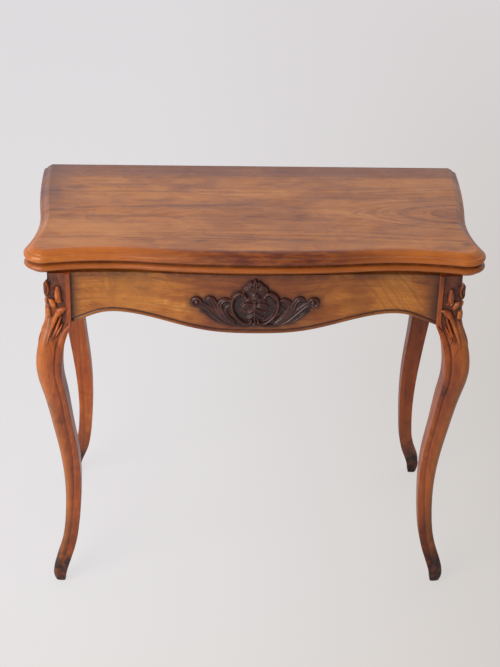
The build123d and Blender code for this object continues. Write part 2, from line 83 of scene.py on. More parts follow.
# A leg's curve: shares of the apron's foot for the height, and of the post for the outer and inner offsets
leg_shares = (
    (0.0, 0.088, 0.736), (0.027, 0.187, 0.692), (0.133, -0.132, 0.253), (0.25, -0.385, 0.011),
    (0.367, -0.418, -0.077), (0.5, -0.275, -0.033), (0.633, -0.011, 0.165), (0.75, 0.264, 0.33),
    (0.817, 0.44, 0.44), (0.867, 0.484, 0.44), (0.917, 0.418, 0.363), (0.958, 0.275, 0.231),
)
curve_steps = 600


# Mesh helpers

def spline(points, count):
    """Places along a natural cubic spline through the points."""
    points = np.asarray(points, float)
    steps = np.linalg.norm(np.diff(points, axis=0), axis=1)
    at = np.concatenate([[0], np.cumsum(steps)])
    last = len(points) - 1
    matrix = np.eye(last + 1)
    right = np.zeros_like(points)
    slopes = np.diff(points, axis=0) / steps[:, None]
    for i in range(1, last):
        matrix[i, i - 1:i + 2] = steps[i - 1], 2 * (steps[i - 1] + steps[i]), steps[i]
        right[i] = 6 * (slopes[i] - slopes[i - 1])
    curving = np.linalg.solve(matrix, right)
    where = np.linspace(0, at[-1], count)
    k = np.clip(np.searchsorted(at, where, "right") - 1, 0, last - 1)
    h = steps[k][:, None]
    a = (at[k + 1] - where)[:, None] / h
    b = 1 - a
    return (a * points[k] + b * points[k + 1]
            + ((a**3 - a) * curving[k] + (b**3 - b) * curving[k + 1]) * h**2 / 6)


def grid_faces(rows, columns, closed=False):
    """Quads of a grid of points laid out row by row, each row closed into a ring if asked."""
    faces = []
    for row in range(rows - 1):
        for column in range(columns if closed else columns - 1):
            after = (column + 1) % columns
            here, above = row * columns, (row + 1) * columns
            faces.append((here + column, here + after, above + after, above + column))
    return faces


def tube_faces(rows, columns):
    """Faces of a tube of rings, with both its ends."""
    last = (rows - 1) * columns
    ends = [tuple(range(columns)), tuple(range(last, last + columns))]
    return grid_faces(rows, columns, closed=True) + ends


def piece(name, node_name, body, finish, points, faces, layers=None, sharp=40.0):
    """A smoothly shaded mesh in its finish, which rides on a body in a node's place."""
    mesh = bpy.data.meshes.new(name)
    mesh.from_pydata([tuple(point) for point in np.asarray(points).tolist()], [], faces)
    for key, values in (layers or {}).items():
        layer = mesh.attributes.new(key, "FLOAT", "POINT")
        layer.data.foreach_set("value", np.asarray(values, np.float32).ravel())
    solid = bmesh.new()
    solid.from_mesh(mesh)
    bmesh.ops.remove_doubles(solid, verts=solid.verts, dist=1e-6)
    bmesh.ops.dissolve_degenerate(solid, edges=solid.edges, dist=1e-6)
    bmesh.ops.recalc_face_normals(solid, faces=solid.faces)
    solid.to_mesh(mesh)
    solid.free()
    mesh.shade_smooth()
    mesh.set_sharp_from_angle(angle=math.radians(sharp))
    made = bpy.data.objects.new(name, mesh)
    bpy.context.collection.objects.link(made)
    mesh.materials.append(materials[finish])
    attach(made, body)
    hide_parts(node_name)
    return made


def smooth_step(low, high, value):
    share = np.clip((value - low) / (high - low), 0, 1)
    return share * share * (3 - 2 * share)


# Carving as height fields. A stroke is (path, half widths, height, base, form), and may end with a painted
# shade that darkens it.

stroke_steps = 90
stroke_margin = 0.008
side_slope = 2.2
vein_share = 0.2
near_reach = 0.0032


def stroke(places, line, widths, height, base, form, shade=0.0):
    """One carved stroke at some places: its height, its dark vein with any painted shade, and how near it
    is.
    """
    width = np.interp(np.linspace(0, 1, len(line)), np.linspace(0, 1, len(widths)), widths)
    away = np.linalg.norm(places[:, None, :] - line[None, :, :], axis=2)
    k = (away - width[None, :]).argmin(axis=1)
    d = away[np.arange(len(k)), k]
    w = np.maximum(width[k], 1e-5)
    q = np.clip(d / w, 0, 1)
    groove = np.exp(-(q / vein_share)**2) * (form == "leaf")
    profile = {
        "round": np.sqrt(1 - q**2),
        "leaf": (0.72 + 0.28 * np.sin(q * 2.2)) * np.sqrt(1 - q**3) - 0.34 * groove,
        "flat": 1 - smooth_step(0.75, 1.0, q),
    }[form]
    swell = np.minimum(1.0, w / max(widths) * 1.3) ** 0.6
    outside = np.maximum(d - w, 0)
    return (base + height * profile * swell - outside * side_slope,
            np.maximum(groove * swell * 0.85, shade), np.exp(-outside / near_reach))


def carve(across, up, strokes):
    """The highest of all strokes at each place, with its vein, and how near any stroke is."""
    field, vein, near = np.full(across.shape, -1.0), np.zeros(across.shape), np.zeros(across.shape)
    places = np.stack([across, up], axis=-1)
    for path, widths, *rest in strokes:
        line = spline(path, stroke_steps) if len(path) > 1 else np.asarray(path, float)
        reach = max(widths) * 2 + stroke_margin
        close = ((places > line.min(axis=0) - reach) & (places < line.max(axis=0) + reach)).all(axis=-1)
        if close.any():
            height, dark, beside = stroke(places[close], line, widths, *rest)
            vein[close] = np.where(height > field[close], dark, vein[close])
            field[close] = np.maximum(field[close], height)
            near[close] = np.maximum(near[close], beside)
    return field, vein, near


def in_metres(strokes, foot=0.0):
    """Strokes given in millimetres above a foot, in metres."""
    return [([(x / 1000, foot + z / 1000) for x, z in path], [w / 1000 for w in widths],
             height / 1000, base / 1000, *rest) for path, widths, height, base, *rest in strokes]


def mirrored(strokes):
    """The strokes with their mirror images."""
    both = []
    for path, *rest in strokes:
        both += [(path, *rest), ([(-x, z) for x, z in path], *rest)]
    return both


def softened(field, turns):
    """The field averaged with its neighbours."""
    for turn in range(turns):
        wide = np.pad(field, 1, mode="edge")
        field = (wide[1:-1, 1:-1] * 4 + wide[:-2, 1:-1] + wide[2:, 1:-1]
                 + wide[1:-1, :-2] + wide[1:-1, 2:]) / 8
    return field


# Materials

def colour(*shares):
    """A linear colour from display values out of 255."""
    linear = [(c / 255 / 12.92) if c / 255 <= 0.04045 else ((c / 255 + 0.055) / 1.055)**2.4 for c in shares]
    return (*linear, 1.0)


class Paint:
    """A node tree: its undistorted places are flat, and base is the colour that is built up in it."""

    def __init__(self, tree, place="Object"):
        self.tree = tree
        self.flat = self.node("TexCoord").outputs[place]
        self.base = None

    def wire(self, socket, value):
        if isinstance(value, bpy.types.NodeSocket):
            self.tree.links.new(value, socket)
        else:
            socket.default_value = value

    def node(self, kind, inputs=None, **settings):
        """A shader node with its inputs set or linked."""
        made = self.tree.nodes.new("ShaderNode" + kind)
        for key, value in settings.items():
            setattr(made, key, value)
        for key, value in (inputs or {}).items():
            self.wire(made.inputs[key], value)
        return made

    def math(self, operation, *values, clamp=False):
        return self.node("Math", dict(enumerate(values)), operation=operation, use_clamp=clamp).outputs[0]

    def times(self, first, *others):
        for other in others:
            first = self.math("MULTIPLY", first, other)
        return first

    def less(self, first, second):
        return self.math("SUBTRACT", first, second)

    def scaled(self, value, scale, added):
        return self.math("MULTIPLY_ADD", value, scale, added)

    def off(self, value, middle):
        """How far a value is from a middle one, either way."""
        return self.math("ABSOLUTE", self.less(value, middle))

    def diagonal(self, first, second):
        return self.math("SQRT", self.scaled(first, first, self.times(second, second)))

    def vector(self, operation, *values):
        return self.node("VectorMath", dict(enumerate(values)), operation=operation).outputs[0]

    def length(self, place):
        return self.node("VectorMath", {0: place}, operation="LENGTH").outputs["Value"]

    def parts(self, place):
        return self.node("SeparateXYZ", {0: place}).outputs

    def moved(self, place, scales, shift=(0, 0, 0)):
        return self.node("Mapping", {"Vector": place, "Scale": scales, "Location": shift}).outputs[0]

    def noise(self, place, scales, detail=3.0, rough=0.55, warp=0.0, shift=(0, 0, 0)):
        """A noise at one scale, or stretched by a scale for each axis."""
        scale = scales
        if isinstance(scales, tuple):
            place, scale = self.moved(place, scales, shift), 1.0
        inputs = {"Vector": place, "Scale": scale, "Detail": detail, "Roughness": rough, "Distortion": warp}
        return self.node("TexNoise", inputs).outputs[0]

    def bands(self, value, scale, detail=3.0, shift=0.0, rough=0.6):
        """Uneven bands by one value."""
        inputs = {"W": self.scaled(value, scale, shift), "Scale": 1.0, "Detail": detail, "Roughness": rough}
        return self.node("TexNoise", inputs, noise_dimensions="1D").outputs[0]

    def drift(self, place, scales, size, shift=(0, 0, 0)):
        """The places moved about by a slow noise, across the grain only."""
        slow = self.moved(place, scales, shift)
        made = self.node("TexNoise", {"Vector": slow, "Scale": 1.0, "Detail": 2.0})
        off = self.vector("SUBTRACT", made.outputs["Color"], (0.5, 0.5, 0.5))
        return self.vector("ADD", place, self.vector("MULTIPLY", off, (0.0, size, size)))

    def span(self, value, low, high, to_low=0.0, to_high=1.0):
        """The value eased from one range to another."""
        inputs = {0: value, 1: low, 2: high, 3: to_low, 4: to_high}
        return self.node("MapRange", inputs, interpolation_type="SMOOTHSTEP").outputs[0]

    def layer(self, name):
        return self.node("Attribute", attribute_name=name).outputs["Fac"]

    def mix(self, factor, low, high):
        return self.node("Mix", {0: factor, 6: low, 7: high}, data_type="RGBA").outputs[2]

    def over(self, shade, *masks):
        """Lays a colour over the base where all the masks are."""
        self.base = self.mix(self.times(*masks), self.base, colour(*shade))

    def ramp(self, value, stops):
        """Colours by value, as (value, colour) stops."""
        made = self.node("ValToRGB", {0: value})
        made.color_ramp.interpolation = "EASE"
        while len(made.color_ramp.elements) < len(stops):
            made.color_ramp.elements.new(1.0)
        for element, (place, shade) in zip(made.color_ramp.elements, stops):
            element.position = place
            element.color = colour(*shade)
        return made.outputs[0]

    def finish(self, rough, relief, strength, depth, constants):
        """Wires the base, the roughness and a fine relief, and sets the shader's constant values."""
        bump = self.node("Bump", {"Height": relief, "Strength": strength, "Distance": depth})
        wired = {"Base Color": self.base, "Roughness": rough, "Normal": bump.outputs[0]}
        for key, value in {**wired, **constants}.items():
            self.wire(self.tree.nodes["Principled BSDF"].inputs[key], value)


def new_material(name):
    made = bpy.data.materials.new(name)
    made.use_nodes = True
    return made, Paint(made.node_tree)


def ring_distance(paint, place, heart):
    """Distance from the tree's heart, which runs along the grain."""
    x, y, z = paint.parts(place)
    across = paint.diagonal(paint.less(y, heart[0]), paint.less(z, heart[1]))
    return paint.scaled(x, 0.012, across)


def top_distance(paint, place, heart):
    """The heart rises towards the right end of the top, where the grain closes into arches."""
    x, y, z = paint.parts(place)
    depth = paint.math("ADD", paint.span(x, 0.16, 0.52, 0.066, 0.006), paint.less(table_top, z))
    return paint.diagonal(paint.less(y, heart[0]), depth)


arch_heart = (-0.021, 0.0)


def arch_accent(paint, place):
    """The arches of grain are bolder than the rest of the top."""
    x, y, z = paint.parts(place)
    near = paint.span(paint.off(y, arch_heart[0]), 0.05, 0.11, 1.0, 0.2)
    return paint.scaled(paint.times(paint.span(x, 0.17, 0.30), near), 2.0, 1.0)


# Noises in the wood: scales along and across the grain, detail, roughness, distortion and shift
wood_noises = {
    "streaks": ((8.0, 54, 54), 5.0, 0.62, 0.3),
    "fine": ((17, 520, 520), 3.0, 0.6),
    "clouds": ((4.2, 8, 8), 3.0, 0.5, 0.6, (3, 1, 7)),
    "patches": ((13, 21, 21), 5.0, 0.62, 1.5, (9, 4, 1)),
    "pores": ((85, 1500, 1500), 2.0, 0.5),
    "flecks": ((42, 150, 150), 2.0, 0.6, 0.5, (2, 8, 5)),
}
# How far each moves the wood's tone, and how far the growth layers do
wood_weights = {"streaks": 0.38, "clouds": 0.46, "patches": 0.50, "fine": 0.22}
ring_weight = 0.26


def walnut(name, stops, heart, upright=False, shift=(0, 0, 0), bold=1.0, band=150.0, gloss=0.34, coat=0.2,
           dirt_and_shade=(46, 26, 22), edge=(214, 140, 76), distance=ring_distance, accent=None, features=None):
    """Polished walnut: growth layers, streaks, pores, clouds of colour, dirt and painted shade in hollows,
    gaps and under the top, and worn edges that carry a painted highlight.
    """
    made, paint = new_material(name)
    place = paint.flat
    if upright:
        x, y, z = paint.parts(place)
        place = paint.node("CombineXYZ", {0: z, 1: x, 2: y}).outputs[0]
    moved = paint.drift(paint.moved(place, (1, 1, 1), shift), (1.7, 5, 5), 0.026)
    moved = paint.drift(moved, (9, 26, 26), 0.0035, (3, 1, 2))
    rings = distance(paint, moved, (heart[0] + shift[1], heart[1] + shift[2]))
    lines = paint.bands(rings, band * 2.6, 2.0, 7.7)
    figure = {key: paint.noise(moved, *values) for key, values in wood_noises.items()}

    weight = ring_weight * bold
    if accent:
        weight = paint.times(accent(paint, place), weight)
    middle = 0.5 - 0.5 * sum(wood_weights.values()) * bold
    tone = paint.scaled(paint.less(paint.bands(rings, band), 0.5), weight, middle)
    for key, share in wood_weights.items():
        tone = paint.scaled(figure[key], share * bold, tone)
    paint.base = paint.ramp(tone, stops)
    darkest = stops[0][1]
    patchy = paint.span(figure["patches"], 0.4, 0.6, 0.05, 0.26 * bold)
    paint.over(darkest, paint.span(lines, 0.56, 0.7), patchy)
    paint.over([c * 0.55 for c in darkest], paint.span(figure["pores"], 0.6, 0.72, 0.0, 0.42))
    paint.over([c * 0.7 for c in darkest], paint.span(figure["flecks"], 0.68, 0.74, 0.0, 0.5))
    if features:
        features(paint, place)
    # A layer darkens the wood with real dirt and with painted shade in hollows, gaps and under the top; worn
    # edges are lighter, partly as a painted highlight.
    blotching = paint.span(paint.noise(place, (70, 70, 70), 4.0, 0.6), 0.32, 0.6, 0.6, 1.0)
    darkened = paint.math("MULTIPLY", paint.layer("dirt_and_shade"), blotching, clamp=True)
    paint.over(edge, paint.layer("wear_and_highlight"), 0.5)
    paint.over(dirt_and_shade, darkened)

    smear = paint.noise(place, (12, 20, 20), 5.0, 0.62, 0.5)
    rough = paint.scaled(darkened, 0.2, paint.span(smear, 0.3, 0.7, gloss - 0.07, gloss + 0.1))
    relief = paint.scaled(figure["streaks"], 0.6, paint.times(figure["pores"], -0.7))
    relief = paint.scaled(figure["fine"], 0.5, relief)
    paint.finish(rough, relief, 0.35, 0.00022, {"IOR": 1.48, "Coat Weight": coat, "Coat Roughness": 0.2})
    return made


def line_mask(paint, route, thickness, ends, strength):
    """A mask for one streak, along the curve y = route[0] + route[1] x + route[2] x squared."""
    x, y, z = paint.parts(paint.flat)
    sway = paint.noise(paint.flat, (8, 3, 3), shift=(route[0] * 90, 0, 0))
    line = paint.scaled(paint.scaled(x, route[2], route[1]), x, route[0])
    line = paint.scaled(paint.less(sway, 0.5), 0.014, line)
    across = paint.span(paint.off(y, line), thickness * 0.15, thickness, 1.0, 0.0)
    left = paint.span(x, ends[0], ends[0] + 0.07)
    right = paint.span(x, ends[1] - 0.09, ends[1], 1.0, 0.0)
    broken = paint.span(paint.noise(paint.flat, (13, 60, 60)), 0.32, 0.62, 0.3, 1.0)
    return paint.times(across, left, right, broken, strength)


def spot_mask(paint, place, middle, size, strength):
    """A mask for one soft patch."""
    shift = (-middle[0] / size[0], -middle[1] / size[1], 0.0)
    off = paint.length(paint.moved(place, (1 / size[0], 1 / size[1], 0.0), shift))
    return paint.span(off, 0.25, 1.0, strength, 0.0)


# Streaks of the top: curve, half thickness, ends and strength
top_streaks = (
    ((0.0193, 0.0613, 0.0), 0.0060, (-0.40, 0.06), 0.48),
    ((0.0120, 0.0480, 0.0), 0.0040, (-0.30, 0.10), 0.31),
    ((-0.1346, -0.1052, -0.3378), 0.0045, (-0.41, 0.08), 0.58),
    ((-0.1420, -0.0300, 0.0), 0.0060, (-0.16, 0.30), 0.27),
    ((0.1640, 0.0050, 0.0), 0.0040, (-0.43, 0.44), 0.43),
    ((0.0560, -0.0200, 0.0), 0.0060, (0.06, 0.30), 0.35),
    ((-0.0760, -0.1900, 0.0), 0.0022, (-0.25, -0.10), 0.62),
    ((-0.0500, 0.0300, 0.0), 0.0035, (-0.10, 0.26), 0.23),
    ((0.1180, 0.0200, 0.0), 0.0050, (-0.34, 0.20), 0.22),
    ((-0.1000, 0.0300, 0.0), 0.0040, (-0.30, 0.10), 0.20),
)
# Light and dark patches of the top: middle, half size and strength. Some light ones at the left front also
# stand in for painted light, and the small one at the right front corner is a painted highlight.
top_lights = (
    ((-0.205, 0.058), (0.060, 0.026), 0.55), ((-0.330, 0.045), (0.060, 0.040), 0.35),
    ((-0.300, -0.095), (0.120, 0.045), 0.62), ((0.230, -0.168), (0.130, 0.020), 0.40),
    ((0.300, -0.100), (0.090, 0.025), 0.25), ((-0.030, -0.100), (0.100, 0.030), 0.20),
    ((0.050, -0.165), (0.100, 0.020), 0.22), ((-0.320, -0.165), (0.120, 0.026), 0.55),
    ((0.408, -0.185), (0.020, 0.014), 0.60),
)
top_shades = (
    ((-0.352, 0.097), (0.030, 0.018), 0.55), ((-0.145, 0.087), (0.040, 0.016), 0.42),
    ((0.170, 0.054), (0.050, 0.012), 0.35), ((0.226, 0.078), (0.030, 0.012), 0.30),
    ((0.083, -0.152), (0.050, 0.014), 0.38), ((-0.130, 0.010), (0.090, 0.014), 0.25),
    ((-0.060, 0.020), (0.120, 0.022), 0.22), ((0.325, 0.020), (0.070, 0.030), 0.16),
    ((0.400, -0.158), (0.020, 0.012), 0.75),
)
# Where the top's shades begin and end
back_strip = (0.150, 0.176)
shaded_end, shaded_back = (-0.43, -0.33), (-0.06, 0.13)
tinted_front = (-0.17, -0.08)
playing_line = (upper_face - 0.0018, upper_face - 0.0002)
stained_middle, stained_reach = 0.03, (0.05, 0.32)
dark_rim = (0.2105, 0.2140)


def top_features(paint, place):
    """The top's patches and streaks, with painted light at its left front and a painted highlight at its
    right front corner, its dark back, its shaded left end and its moulding, tinted orange most at the front,
    partly as painted light.
    """
    place = paint.drift(place, (14, 22, 22), 0.022, (1, 5, 3))
    x, y, z = paint.parts(place)
    true_x, true_y, true_z = paint.parts(paint.flat)
    # Light patches, some of them painted light, then dark ones
    for spots, shade in ((top_lights, (212, 134, 62)), (top_shades, (112, 62, 42))):
        for spot in spots:
            paint.over(shade, spot_mask(paint, place, *spot))
    for streak in top_streaks:
        paint.over((96, 50, 32), line_mask(paint, *streak))
    paint.over((112, 56, 48), paint.span(true_y, *back_strip), 0.55)
    paint.over((84, 48, 48), paint.span(x, *shaded_end, 1.0, 0.0), paint.span(y, *shaded_back), 0.7)
    side = paint.layer("moulded")
    # The moulding is tinted orange, most at the front: partly its own colour, partly painted light, as the
    # ends show more reflected sheen
    paint.over((220, 118, 38), side, paint.span(true_y, *tinted_front, 0.45, 0.06))
    paint.over((132, 66, 30), side, paint.span(true_z, *playing_line, 0.42, 0.0))
    middle = paint.span(paint.off(true_x, stained_middle), *stained_reach, 0.95, 0.06)
    cloud = paint.span(paint.noise(paint.flat, (26, 90, 160), 4.0), 0.32, 0.62, 0.62, 1.0)
    paint.over((100, 42, 26), side, middle, cloud, paint.span(true_z, *playing_line))
    paint.over((62, 34, 30), paint.span(true_y, *dark_rim), 0.5)


# Patches across the front apron: middle, half width, strength and colour
apron_patches = (
    (0.196, 0.034, 0.34, (106, 56, 30)), (0.350, 0.036, 0.75, (84, 44, 30)),
    (-0.350, 0.030, 0.45, (90, 48, 30)), (-0.235, 0.075, 0.35, (208, 138, 56)),
    (0.268, 0.050, 0.35, (206, 136, 56)),
)
patch_height = 40.0


def apron_features(paint, place):
    """The front apron's middle, darkened by a stain and by painted shade of its bow, its patches, the
    ripples across its right half and the bead.
    """
    x, y, z = paint.parts(place)
    sway = paint.less(paint.noise(place, (9, 9, 9), shift=(2, 0, 4)), 0.5)
    # A stain and painted shade of the bow darken the middle
    stained_and_shaded = paint.scaled(sway, 0.12, paint.off(x, 0.012))
    paint.over((112, 46, 27), paint.span(stained_and_shaded, 0.085, 0.185, 0.62, 0.0))
    for middle, width, strength, shade in apron_patches:
        paint.over(shade, spot_mask(paint, place, (middle, 0.0), (width, patch_height), strength))
    slant = paint.scaled(paint.noise(place, (22, 22, 22), 2.0), 0.02, paint.scaled(z, 0.8, x))
    ripple = paint.span(paint.bands(slant, 135.0, 2.0, rough=0.5), 0.42, 0.66)
    paint.over((124, 68, 32), ripple, paint.span(x, 0.15, 0.27, 0.05, 0.4))
    paint.over((100, 36, 18), paint.layer("stain"), 0.7)


def leg_features(paint, place):
    """Painted shade: the right legs, further from the lamp, and the upper parts of the back legs, under the
    top, are darker.
    """
    x, y, z = paint.parts(paint.flat)
    paint.over((92, 40, 26), paint.span(x, -0.2, 0.3, 0.0, 0.20))
    paint.over((96, 42, 28), paint.span(y, -0.05, 0.05, 0.0, 0.42), paint.span(z, 0.16, 0.42))


def cloth(name):
    """Green baize: a felted, faded wool cloth, dark at the seam between the leaves with dirt and painted
    shade.
    """
    made, paint = new_material(name)
    fibre = paint.noise(paint.flat, 1400.0, 5.0, 0.7, 0.8)
    felt = paint.noise(paint.flat, 260.0, 5.0, 0.65, 0.4)
    faded = paint.noise(paint.flat, 5.0, 4.0, 0.55)
    y = paint.parts(paint.flat)[1]
    paint.base = paint.mix(paint.span(felt, 0.3, 0.7), colour(38, 74, 48), colour(58, 98, 62))
    paint.over((88, 112, 70), paint.span(faded, 0.35, 0.75, 0.0, 0.32))
    paint.over((120, 142, 104), paint.span(fibre, 0.62, 0.8, 0.0, 0.5))
    # Dirt and painted shade along the seam between the leaves
    paint.over((20, 34, 24), paint.span(y, leaf_back - 0.003, leaf_back, 0.0, 0.75))
    paint.finish(paint.span(felt, 0.2, 0.8, 0.85, 1.0), paint.math("ADD", fibre, felt), 0.6, 0.0004,
                 {"Sheen Weight": 0.35, "Sheen Roughness": 0.5})
    return made


def metal(name, bright, dull, rough, scale):
    """Aged metal, bright where it is rubbed and dull in patches, with fine scratches."""
    made, paint = new_material(name)
    patch = paint.noise(paint.flat, scale, 5.0, 0.65, 0.5)
    scratch = paint.noise(paint.flat, (60, 2600, 900), 3.0, 0.6)
    paint.base = paint.mix(paint.span(patch, 0.3, 0.8), colour(*bright), colour(*dull))
    rough = paint.span(patch, 0.3, 0.7, rough, rough + 0.25)
    paint.finish(rough, paint.math("ADD", patch, scratch), 0.25, 0.0001, {"Metallic": 1.0})
    return made


# Woods: the ramp's stops from dark to light, where the heart lies, and what sets each apart
woods = {
    "top_walnut": dict(
        stops=((0.2, (112, 54, 24)), (0.42, (170, 96, 35)), (0.58, (197, 117, 45)), (0.8, (220, 147, 68))),
        heart=arch_heart, bold=1.25, band=120.0, gloss=0.3, dirt_and_shade=(52, 20, 12),
        distance=top_distance, accent=arch_accent, features=top_features),
    "apron_walnut": dict(
        stops=((0.2, (112, 56, 24)), (0.42, (166, 94, 33)), (0.6, (192, 116, 43)), (0.8, (214, 144, 62))),
        heart=(0.1, 0.52), shift=(0.7, 0.3, 0.2), bold=1.8, band=90.0, gloss=0.36, coat=0.15,
        features=apron_features),
    # The legs' edge colour is wear along the arris and a painted highlight there.
    "leg_walnut": dict(
        stops=((0.2, (98, 40, 20)), (0.42, (158, 74, 27)), (0.6, (186, 91, 33)), (0.82, (212, 117, 50))),
        heart=(0.2, 0.35), upright=True, shift=(0.2, 0.9, 0.4), bold=1.5, band=110.0, gloss=0.36, coat=0.18,
        dirt_and_shade=(44, 24, 25), edge=(226, 148, 70), features=leg_features),
    # The carving's edge colour lightens its high places: wear and a painted highlight.
    "carved_walnut": dict(
        stops=((0.2, (38, 22, 20)), (0.5, (68, 34, 29)), (0.8, (104, 50, 38))),
        heart=(0.1, 0.5), shift=(1.7, 0.5, 0.3), gloss=0.33, dirt_and_shade=(24, 18, 21), edge=(134, 74, 60)),
    "inner_beech": dict(
        stops=((0.2, (120, 74, 38)), (0.5, (162, 108, 60)), (0.8, (190, 138, 88))),
        heart=(0.1, 0.5), shift=(5, 3, 1), bold=0.75, band=190.0, gloss=0.55, coat=0.0,
        dirt_and_shade=(78, 54, 38), edge=(186, 146, 100)),
}
materials = {name: walnut(name, **values) for name, values in woods.items()}
materials["baize"] = cloth("baize")
materials["hinge_brass"] = metal("hinge_brass", (202, 164, 92), (138, 104, 56), 0.3, 60.0)
materials["pivot_iron"] = metal("pivot_iron", (112, 108, 104), (62, 54, 50), 0.42, 90.0)


# Leaves

def toward(start, end, distance):
    share = distance / math.dist(start, end)
    return (start[0] + (end[0] - start[0]) * share, start[1] + (end[1] - start[1]) * share)


def recess_radius(corner):
    """Radius of the hollow that touches the recess and the corner's circle."""
    across = recess_reach - corner[0]
    along = corner[1] - recess_place
    return (across**2 + along**2 - corner_radius**2) / (2 * (corner_radius - across))


def crossing(middle, radius, other, other_radius):
    """Where two circles cross, on the side nearer to the table's middle."""
    gap = math.dist(middle, other)
    along = (radius**2 - other_radius**2 + gap**2) / (2 * gap)
    off = math.sqrt(radius**2 - along**2)
    foot = toward(middle, other, along)
    step = ((other[1] - middle[1]) / gap * off, (middle[0] - other[0]) / gap * off)
    ends = [(foot[0] + step[0], foot[1] + step[1]), (foot[0] - step[0], foot[1] - step[1])]
    return min(ends, key=sum)


def arc(middle, start, end, count):
    """Points along the short arc about a middle, without its end."""
    radius = math.dist(middle, start)
    first = math.atan2(start[1] - middle[1], start[0] - middle[0])
    last = math.atan2(end[1] - middle[1], end[0] - middle[0])
    turn = (last - first + math.pi) % (2 * math.pi) - math.pi
    angles = [first + turn * k / count for k in range(count)]
    return [(middle[0] + radius * math.cos(a), middle[1] + radius * math.sin(a)) for a in angles]


bow_steps, hollow_steps, corner_steps = 22, 40, 12


def half_side(corner, inset, rounded):
    """Half of one side from its bow's crown to the corner, as points (out, along)."""
    hollow_radius = recess_radius(corner)
    hollow = (recess_reach + hollow_radius, recess_place)
    bow_radius = (edge_recess**2 + recess_place**2) / (2 * edge_recess) - hollow_radius
    bow = (half_width - bow_radius, 0)
    meeting = toward(bow, hollow, bow_radius - inset)
    crown = arc(bow, (half_width - inset, 0), meeting, bow_steps)
    if rounded:
        leaving = toward(hollow, corner, hollow_radius + inset)
        reach = (corner_radius - inset) / math.sqrt(2)
        diagonal = (corner[0] + reach, corner[1] + reach)
        return (crown + arc(hollow, meeting, leaving, hollow_steps)
                + arc(corner, leaving, diagonal, corner_steps) + [diagonal])
    other_radius = recess_radius(corner[::-1])
    other = (recess_place, recess_reach + other_radius)
    point = crossing(hollow, hollow_radius + inset, other, other_radius + inset)
    return crown + arc(hollow, meeting, point, hollow_steps) + [point] * (corner_steps + 1)


def leaf_outline(inset, rounded=True):
    """The moulded outline from the back right corner round the front to the back left."""
    end = [(x, -y) for x, y in half_side((corner_end, corner_front), inset, rounded)]
    front = [(y, -x) for x, y in half_side((corner_front, corner_end), inset, rounded)]
    right = end[:-1] + front[::-1]
    left = [(-x, y) for x, y in right[::-1]][1:]
    return np.array([(x, y + leaf_back) for x, y in right + left])


outline_count = len(leaf_outline(0.0))
spine_x = np.linspace(1, -1, outline_count) * half_width * 0.5
spine = np.column_stack([spine_x, np.full(outline_count, leaf_back)])


def layered(plan, height):
    return np.column_stack([plan, np.full(len(plan), height)])


def skin(rows):
    """Points and faces of rows that follow the outline, closed along the straight back."""
    starts = [k * outline_count for k in range(len(rows))]
    back = (starts + [starts[-1] + k for k in range(1, outline_count)]
            + [k + outline_count - 1 for k in starts[::-1][1:]] + list(range(outline_count - 2, 0, -1)))
    return np.concatenate(rows), grid_faces(len(rows), outline_count) + [tuple(back)]


def quarter(middle, size, start, end, count):
    """A quarter ellipse in the profile, as (inset, height) points."""
    angles = np.radians(np.linspace(start, end, count))
    return [(middle[0] + size[0] * math.cos(a), middle[1] + size[1] * math.sin(a)) for a in angles]


def bend(points, count):
    """Places on a Bezier curve through its first and last points."""
    t = np.linspace(0, 1, count)[:, None]
    points = [np.asarray(point, float) for point in points]
    while len(points) > 1:
        points = [(1 - t) * a + t * b for a, b in zip(points, points[1:])]
    return [tuple(place) for place in points[0]]


def eased(points):
    """The profile with each marked corner rounded. A point is (inset, height) or (inset, height, True)."""
    line = []
    for k, (x, z, *soft) in enumerate(points):
        if not soft:
            line.append((x, z))
            continue
        before, after = points[k - 1][:2], points[k + 1][:2]
        reach = min(easing, 0.45 * math.dist((x, z), before), 0.45 * math.dist((x, z), after))
        line += bend((toward((x, z), before, reach), (x, z), toward((x, z), after, reach)), 5)
    return line


# Mouldings, as (inset, height) from the playing face and away from it
easing = 0.0009
torus_steps = 8


def upper_profile():
    """Ovolo, worn step and torus, from the flat top down to the playing face."""
    ovolo = bend(((0.0176, 0.0217), (0.0112, 0.0188), (0.0071, 0.0144)), 12)
    step = [(0.0066, 0.0138, True), (0.0058, 0.0133, True)]
    torus = (bend(((0.0048, 0.0132), (0.0008, 0.0120), (0.0, 0.0074)), torus_steps)
             + bend(((0.0, 0.0074), (0.0002, 0.0022), (0.0022, 0.0006), (0.0038, 0.0)), torus_steps)[1:])
    return eased([(0.0215, leaf_thickness), (0.0182, leaf_thickness, True)] + ovolo + step + torus)


def lower_profile():
    """Cove, step and torus with a deep shoulder, from the underside up to the playing face."""
    torus = (bend(((0.0090, 0.0), (0.0090, 0.0052), (0.0016, 0.0050), (0.0, 0.0104)), 12)
             + quarter((0.005, 0.0104), (-0.005, 0.0054), 0, 90, torus_steps)[1:])
    step = [(0.0066, 0.0160, True), (0.0070, 0.0172, True)]
    cove = quarter((0.007, leaf_thickness), (0.005, -0.0044), 90, 0, 9)
    return eased(torus + step + cove[1:])[::-1]


# Painted shade of the upper leaf: a dark line in the step under the ovolo, and along its lower edge by the
# gap between the leaves
def upper_painted_shade(inset, height):
    if 0.0050 < inset < 0.0070 and 0.012 < height < 0.0142:
        return 0.16
    return 0.45 if height < 0.0008 else 0.0


# Painted shade of the lower leaf: its shoulder under the upper leaf's edge, and its cove above the apron
def lower_painted_shade(inset, height):
    shoulder = float(smooth_step(0.0070, 0.0042, height)) * 0.7
    return max(shoulder, 0.22 if inset > 0.0052 and height > 0.0155 else 0.0)


baize_margin = 0.062
baize_recess = 0.001
baize_gap = 0.0003
baize_sunk = 0.0002
baize_ease = 0.0004
baize_steps = 24
